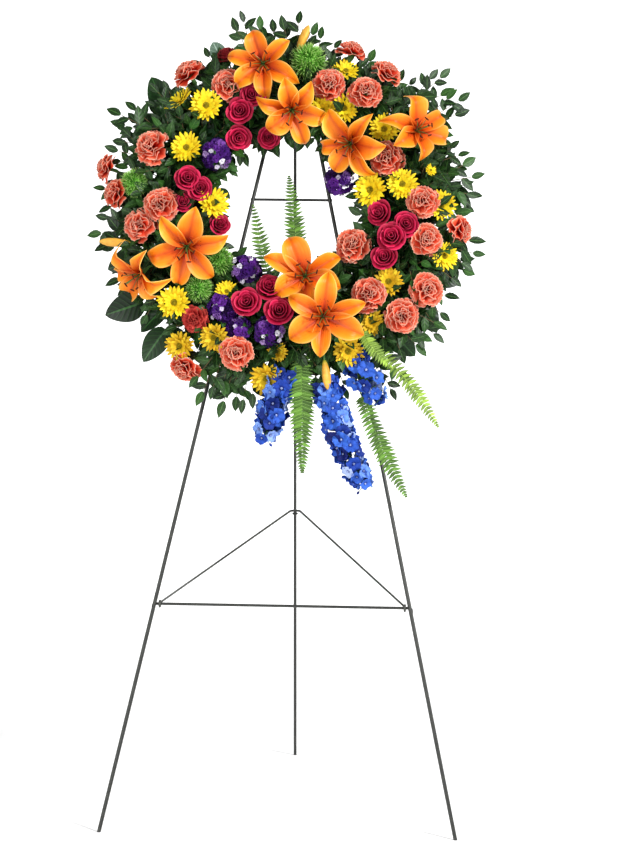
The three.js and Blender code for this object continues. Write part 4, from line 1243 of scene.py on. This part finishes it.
def fern_piece(name, root, fronds, materials):
    """Fronds from one root. Each is its run of places, half width, pairs of leaflets and material slot."""
    parts = []
    for run, half, pairs, slot in fronds:
        points = [on_ring(*at) for at in run]
        parts += fern_frond(rng, points, half, pairs, slot)
        parts.append((lead_in(root, FOAM_FRONT + 5, points[0], 1.5), STILL, 0, 0.5))
    wreath_piece(name + "_fronds", parts, materials, name, "fern_frond")


fern_piece("fern_inner", (185, 200), [
    ([(172, 168, 52), (165, 50, 62), (357, 71, 34)], 23, 34, 0),
    ([(190, 160, 48), (212, 90, 56), (282, 70, 36)], 19, 24, 0),
], [FERN])
fern_piece("fern_hanging", (176, 240), [
    ([(174, 268, 70), (175, 370, 80), (176, 486, 50)], 26, 37, 0),
], [FERN])
fern_piece("fern_right", (151, 240), [
    ([(149, 262, 84), (149, 305, 94), (147, 354, 86)], 16, 20, 1),
    ([(147, 300, 52), (145, 400, 66), (145, 484, 46)], 18, 27, 1),
    ([(158, 365, 48), (158, 470, 56), (157, 568, 30)], 22, 30, 0),
], [FERN, LIT_FERN])


# Broad leaves by material slot: mesh, length, half width, how far in from its tip a leaf is pinned, and slot.
SALAL_SLOT, EUCALYPTUS_SLOT = 2, 3
BROAD_KINDS = {
    SALAL_SLOT: (SALAL_LEAF, SALAL_LENGTH, SALAL_HALF, 70, "salal_leaf"),
    EUCALYPTUS_SLOT: (ROUND_LEAF, ROUND_LENGTH, ROUND_HALF, 34, "eucalyptus_leaf"),
}


def greenery_piece(name, node, sprigs, leaves, slot):
    """Twigs and broad leaves of one sector, with leaf slots 0 huckleberry, 1 twig, 2 salal, 3 eucalyptus."""
    parts = []
    for points, size in sprigs:
        parts += huckleberry(rng, points, size)
    for foot, tip, half, kind in leaves:
        along = tip - foot
        face = Vector((rng.uniform(-0.5, 0.5), rng.uniform(-0.5, 0.5), 1))
        source, length, full_half = BROAD_KINDS[kind][:3]
        scale = Matrix.Diagonal((half / full_half, half / full_half, along.length / length, 1))
        parts.append((source, frame_of(foot, along, face) @ scale, kind, rng.uniform(0.2, 1)))
    wreath_piece(name, parts, [HUCKLEBERRY, TWIG, SALAL, EUCALYPTUS], node, slot)


def sprig(foot, tip, size):
    """A twig's path, arched a little away from the foam, and the size of its leaves."""
    return [foot, foot.lerp(tip, 0.5) + OUTWARD * 8, tip], size


def tuft(clock, tip_radius, tip_height, size, spread):
    """Three twigs from one foot at the ring's edge, fanned to either side of the longest."""
    foot_radius = 262
    foot = on_ring(clock, foot_radius, 44)
    sprigs = []
    for swing, reach in ((0, 1.0), (-spread, 0.86), (spread, 0.82)):
        radius = foot_radius + (tip_radius - foot_radius) * reach
        tip = on_ring(clock + swing + rng.uniform(-1, 1), radius, tip_height + rng.uniform(-10, 8))
        sprigs.append(sprig(foot, tip, size))
    return sprigs


# Tufts round the rim: (clock, tip radius, tip height, leaf size, spread).
RIM = {
    "huckleberry_top": [
        (346, 370, 64, 1.86, 4), (1, 354, 60, 1.8, 4), (354, 346, 50, 1.74, 4), (9, 334, 56, 1.61, 4),
        (332, 330, 50, 1.61, 4), (48, 372, 60, 1.8, 3), (56, 372, 58, 1.74, 3), (42, 326, 52, 1.61, 4),
        (27, 320, 46, 1.61, 4),
    ],
    "huckleberry_right": [
        (71, 326, 52, 1.61, 4), (79, 340, 58, 1.86, 4), (84, 332, 46, 1.74, 4), (103, 346, 56, 1.86, 4),
        (109, 336, 46, 1.74, 4), (123, 336, 54, 1.74, 4), (131, 350, 50, 1.8, 4), (137, 342, 46, 1.74, 4),
    ],
    "huckleberry_bottom": [
        (149, 378, 36, 1.8, 4), (193, 360, 40, 1.8, 3), (198, 372, 42, 1.86, 3), (204, 370, 46, 1.86, 3),
        (174, 344, 40, 1.74, 5), (162, 344, 36, 1.67, 5), (212, 330, 40, 1.61, 4),
    ],
    "huckleberry_left": [
        (247, 336, 46, 1.74, 4), (262, 350, 56, 1.86, 4), (257, 330, 40, 1.74, 4), (238, 334, 44, 1.7, 6),
        (276, 344, 40, 1.74, 4), (290, 340, 54, 1.74, 4), (300, 362, 58, 1.86, 3), (296, 344, 46, 1.74, 4),
        (311, 332, 56, 1.67, 4),
    ],
}
# Each sector's first and last clock angle.
SECTORS = {
    "huckleberry_top": (-40, 62), "huckleberry_right": (62, 142),
    "huckleberry_bottom": (142, 220), "huckleberry_left": (220, 320),
}
# Short sprigs pinned all over the foam fill the gaps between blooms: (foot radius, tip radius, tip height).
FILL = [
    (254, 302, 56), (246, 290, 74), (232, 268, 84), (214, 236, 88), (200, 196, 88), (188, 160, 76),
    (180, 140, 58),
]
FILL_STEP = 4.8

for node, rim in RIM.items():
    sprigs = []
    for tuft_of in rim:
        sprigs += tuft(*tuft_of)
    clock, last = SECTORS[node]
    while clock < last:
        for foot, tip, height in FILL:
            start = clock + rng.uniform(-3, 3)
            swing, reach, rise = rng.uniform(-11, 11), rng.uniform(-12, 10), rng.uniform(-12, 4)
            end = on_ring(start + swing, tip + reach, height + rise)
            sprigs.append(sprig(on_ring(start, foot, 42), end, rng.uniform(1.4, 1.9)))
        clock += FILL_STEP
    greenery_piece(node + "_sprigs", node, sprigs, [], "huckleberry_leaf")

# Broad leaves at the rim: kind and foot height, then (clock, tip radius, tip height, half width, how far
# the foot swings back from the clock angle).
BROAD = {
    "salal_left": (SALAL_SLOT, 38, [
        (223, 384, 46, 23, -2), (231, 352, 30, 21, 0), (239, 386, 52, 27, 2), (251, 348, 52, 25, -2),
        (245, 340, 40, 22, 0), (268, 340, 34, 20, 0), (303, 336, 40, 21, 0), (314, 366, 50, 24, 5),
        (309, 326, 60, 22, 0),
    ]),
    "salal_right": (SALAL_SLOT, 38, [
        (100, 330, 34, 20, 0), (113, 336, 40, 22, 0), (128, 352, 36, 23, 4), (139, 352, 38, 24, 0),
    ]),
    "eucalyptus_top": (EUCALYPTUS_SLOT, 44, [
        (-25, 350, 60, 17, 0), (-18, 338, 40, 16, 0), (-33, 334, 34, 15, 0),
    ]),
}
# Salal also lies over the foam, low between the blooms: (foot radius, tip radius, tip height).
LOW_SALAL = [(238, 296, 66), (196, 150, 60), (214, 240, 74)]
LOW_SALAL_STEP = 8.5
LOW_SALAL_SECTORS = {"salal_left": (150, 320), "salal_right": (-36, 150)}
# Two eucalyptus leaves stand alone on the right: (foot clock, tip clock, foot radius, tip radius, height).
LONE_EUCALYPTUS = [(66, 67, 290, 322, 56), (112, 113, 286, 316, 50)]

for node, (kind, foot_height, rim_leaves) in BROAD.items():
    inset, slot = BROAD_KINDS[kind][3:]
    leaves = []
    for clock, radius, tip_height, half, swing in rim_leaves:
        foot = on_ring(clock - swing, radius - inset, foot_height)
        leaves.append((foot, on_ring(clock, radius, tip_height), half, kind))
    if kind == SALAL_SLOT:
        clock, last = LOW_SALAL_SECTORS[node]
        while clock < last:
            for foot_radius, tip_radius, tip_height in LOW_SALAL:
                foot = on_ring(clock + rng.uniform(-3, 3), foot_radius, 46)
                tip = on_ring(clock + rng.uniform(-11, 11), tip_radius, tip_height)
                leaves.append((foot, tip, rng.uniform(15, 20), SALAL_SLOT))
            clock += LOW_SALAL_STEP
    else:
        for foot_clock, tip_clock, foot_radius, tip_radius, height in LONE_EUCALYPTUS:
            foot, tip = on_ring(foot_clock, foot_radius, height), on_ring(tip_clock, tip_radius, height)
            leaves.append((foot, tip, ROUND_HALF, EUCALYPTUS_SLOT))
    greenery_piece(node + "_leaves", node, [], leaves, slot)


# ------------------------------------------------------------------ floor, light and camera

def studio_sweep():
    """A pale floor that curves up into a plain backdrop."""
    bpy.ops.object.select_all(action="DESELECT")
    bpy.ops.mesh.primitive_plane_add(size=1)
    floor = bpy.context.object
    floor.data.transform(move(0, 0, -0.0005) @ Matrix.Diagonal((24, 16, 1, 1)))
    only(floor)
    bpy.ops.object.mode_set(mode="EDIT")
    bpy.ops.mesh.select_all(action="DESELECT")
    bpy.ops.object.mode_set(mode="OBJECT")
    for edge in floor.data.edges:
        edge.select = all(floor.data.vertices[i].co.y > 0 for i in edge.vertices)
    bpy.ops.object.mode_set(mode="EDIT")
    bpy.ops.mesh.extrude_region_move(TRANSFORM_OT_translate={"value": (0, 0, 12)})
    bpy.ops.object.mode_set(mode="OBJECT")
    for edge in floor.data.edges:
        ends = [floor.data.vertices[i].co for i in edge.vertices]
        edge.select = all(end.y > 0 and end.z < 1 for end in ends)
    bpy.ops.object.mode_set(mode="EDIT")
    bpy.ops.mesh.bevel(offset=4, segments=16, affect="EDGES")
    bpy.ops.mesh.select_all(action="SELECT")
    bpy.ops.mesh.normals_make_consistent(inside=True)
    bpy.ops.object.mode_set(mode="OBJECT")
    bpy.ops.object.shade_smooth()
    floor.name = "studio_floor"
    paper, tree, shader = surface(
        "white paper sweep", Roughness=0.9, Emission_Color=(1, 1, 1, 1), Emission_Strength=0.2)
    speck = ramp(tree, noise_at(tree, 300), [(0.0, "#f6f6f6"), (1.0, "#fafafa")])
    tree.links.new(speck, shader.inputs["Base Color"])
    floor.data.materials.append(paper)
    return floor


studio_sweep()

world = bpy.data.worlds.new("studio")
bpy.context.scene.world = world
world.use_nodes = True
world.node_tree.nodes["Background"].inputs["Color"].default_value = (1, 1, 1, 1)
world.node_tree.nodes["Background"].inputs["Strength"].default_value = 0.3


def softbox(name, place, aim, size, power):
    """A rectangular area light that looks at a point."""
    data = bpy.data.lights.new(name, "AREA")
    data.shape = "RECTANGLE"
    data.size, data.size_y = size
    data.energy = power
    light = bpy.data.objects.new(name, data)
    light.location = place
    light.rotation_euler = (Vector(aim) - Vector(place)).to_track_quat("-Z", "Y").to_euler()
    bpy.context.scene.collection.objects.link(light)


softbox("key", (3.2, -2.7, 3.1), (0, 0, 0.9), (0.6, 0.6), 255)
softbox("fill", (-1.8, -3.4, 1.5), (0, 0, 1.0), (2.0, 2.0), 85)
softbox("backdrop", (0, 2.6, 4.6), (0, 7.5, 2.2), (5.0, 2.0), 330)
bpy.context.scene.view_settings.view_transform = "Standard"

EYE_HEIGHT, EYE_DISTANCE, EYE_YAW = 1094, 4354, 3.09
LENS_PITCH, LENS_YAW, LENS_ROLL = 5.0, 2.57, 0.63
AIM_BEFORE_ORIGIN = 70
camera_data = bpy.data.cameras.new("camera")
camera_data.lens = 99.5
camera_data.sensor_fit = "VERTICAL"
camera_data.sensor_height = 36
camera = bpy.data.objects.new("camera", camera_data)
yaw = math.radians(EYE_YAW)
camera.location = Vector((
    math.sin(yaw) * EYE_DISTANCE, -AIM_BEFORE_ORIGIN - math.cos(yaw) * EYE_DISTANCE, EYE_HEIGHT,
)) * MM
camera.rotation_euler = (
    turn("Z", LENS_YAW) @ turn("X", 90 - LENS_PITCH) @ turn("Z", LENS_ROLL)
).to_euler()
bpy.context.scene.collection.objects.link(camera)
bpy.context.scene.camera = camera
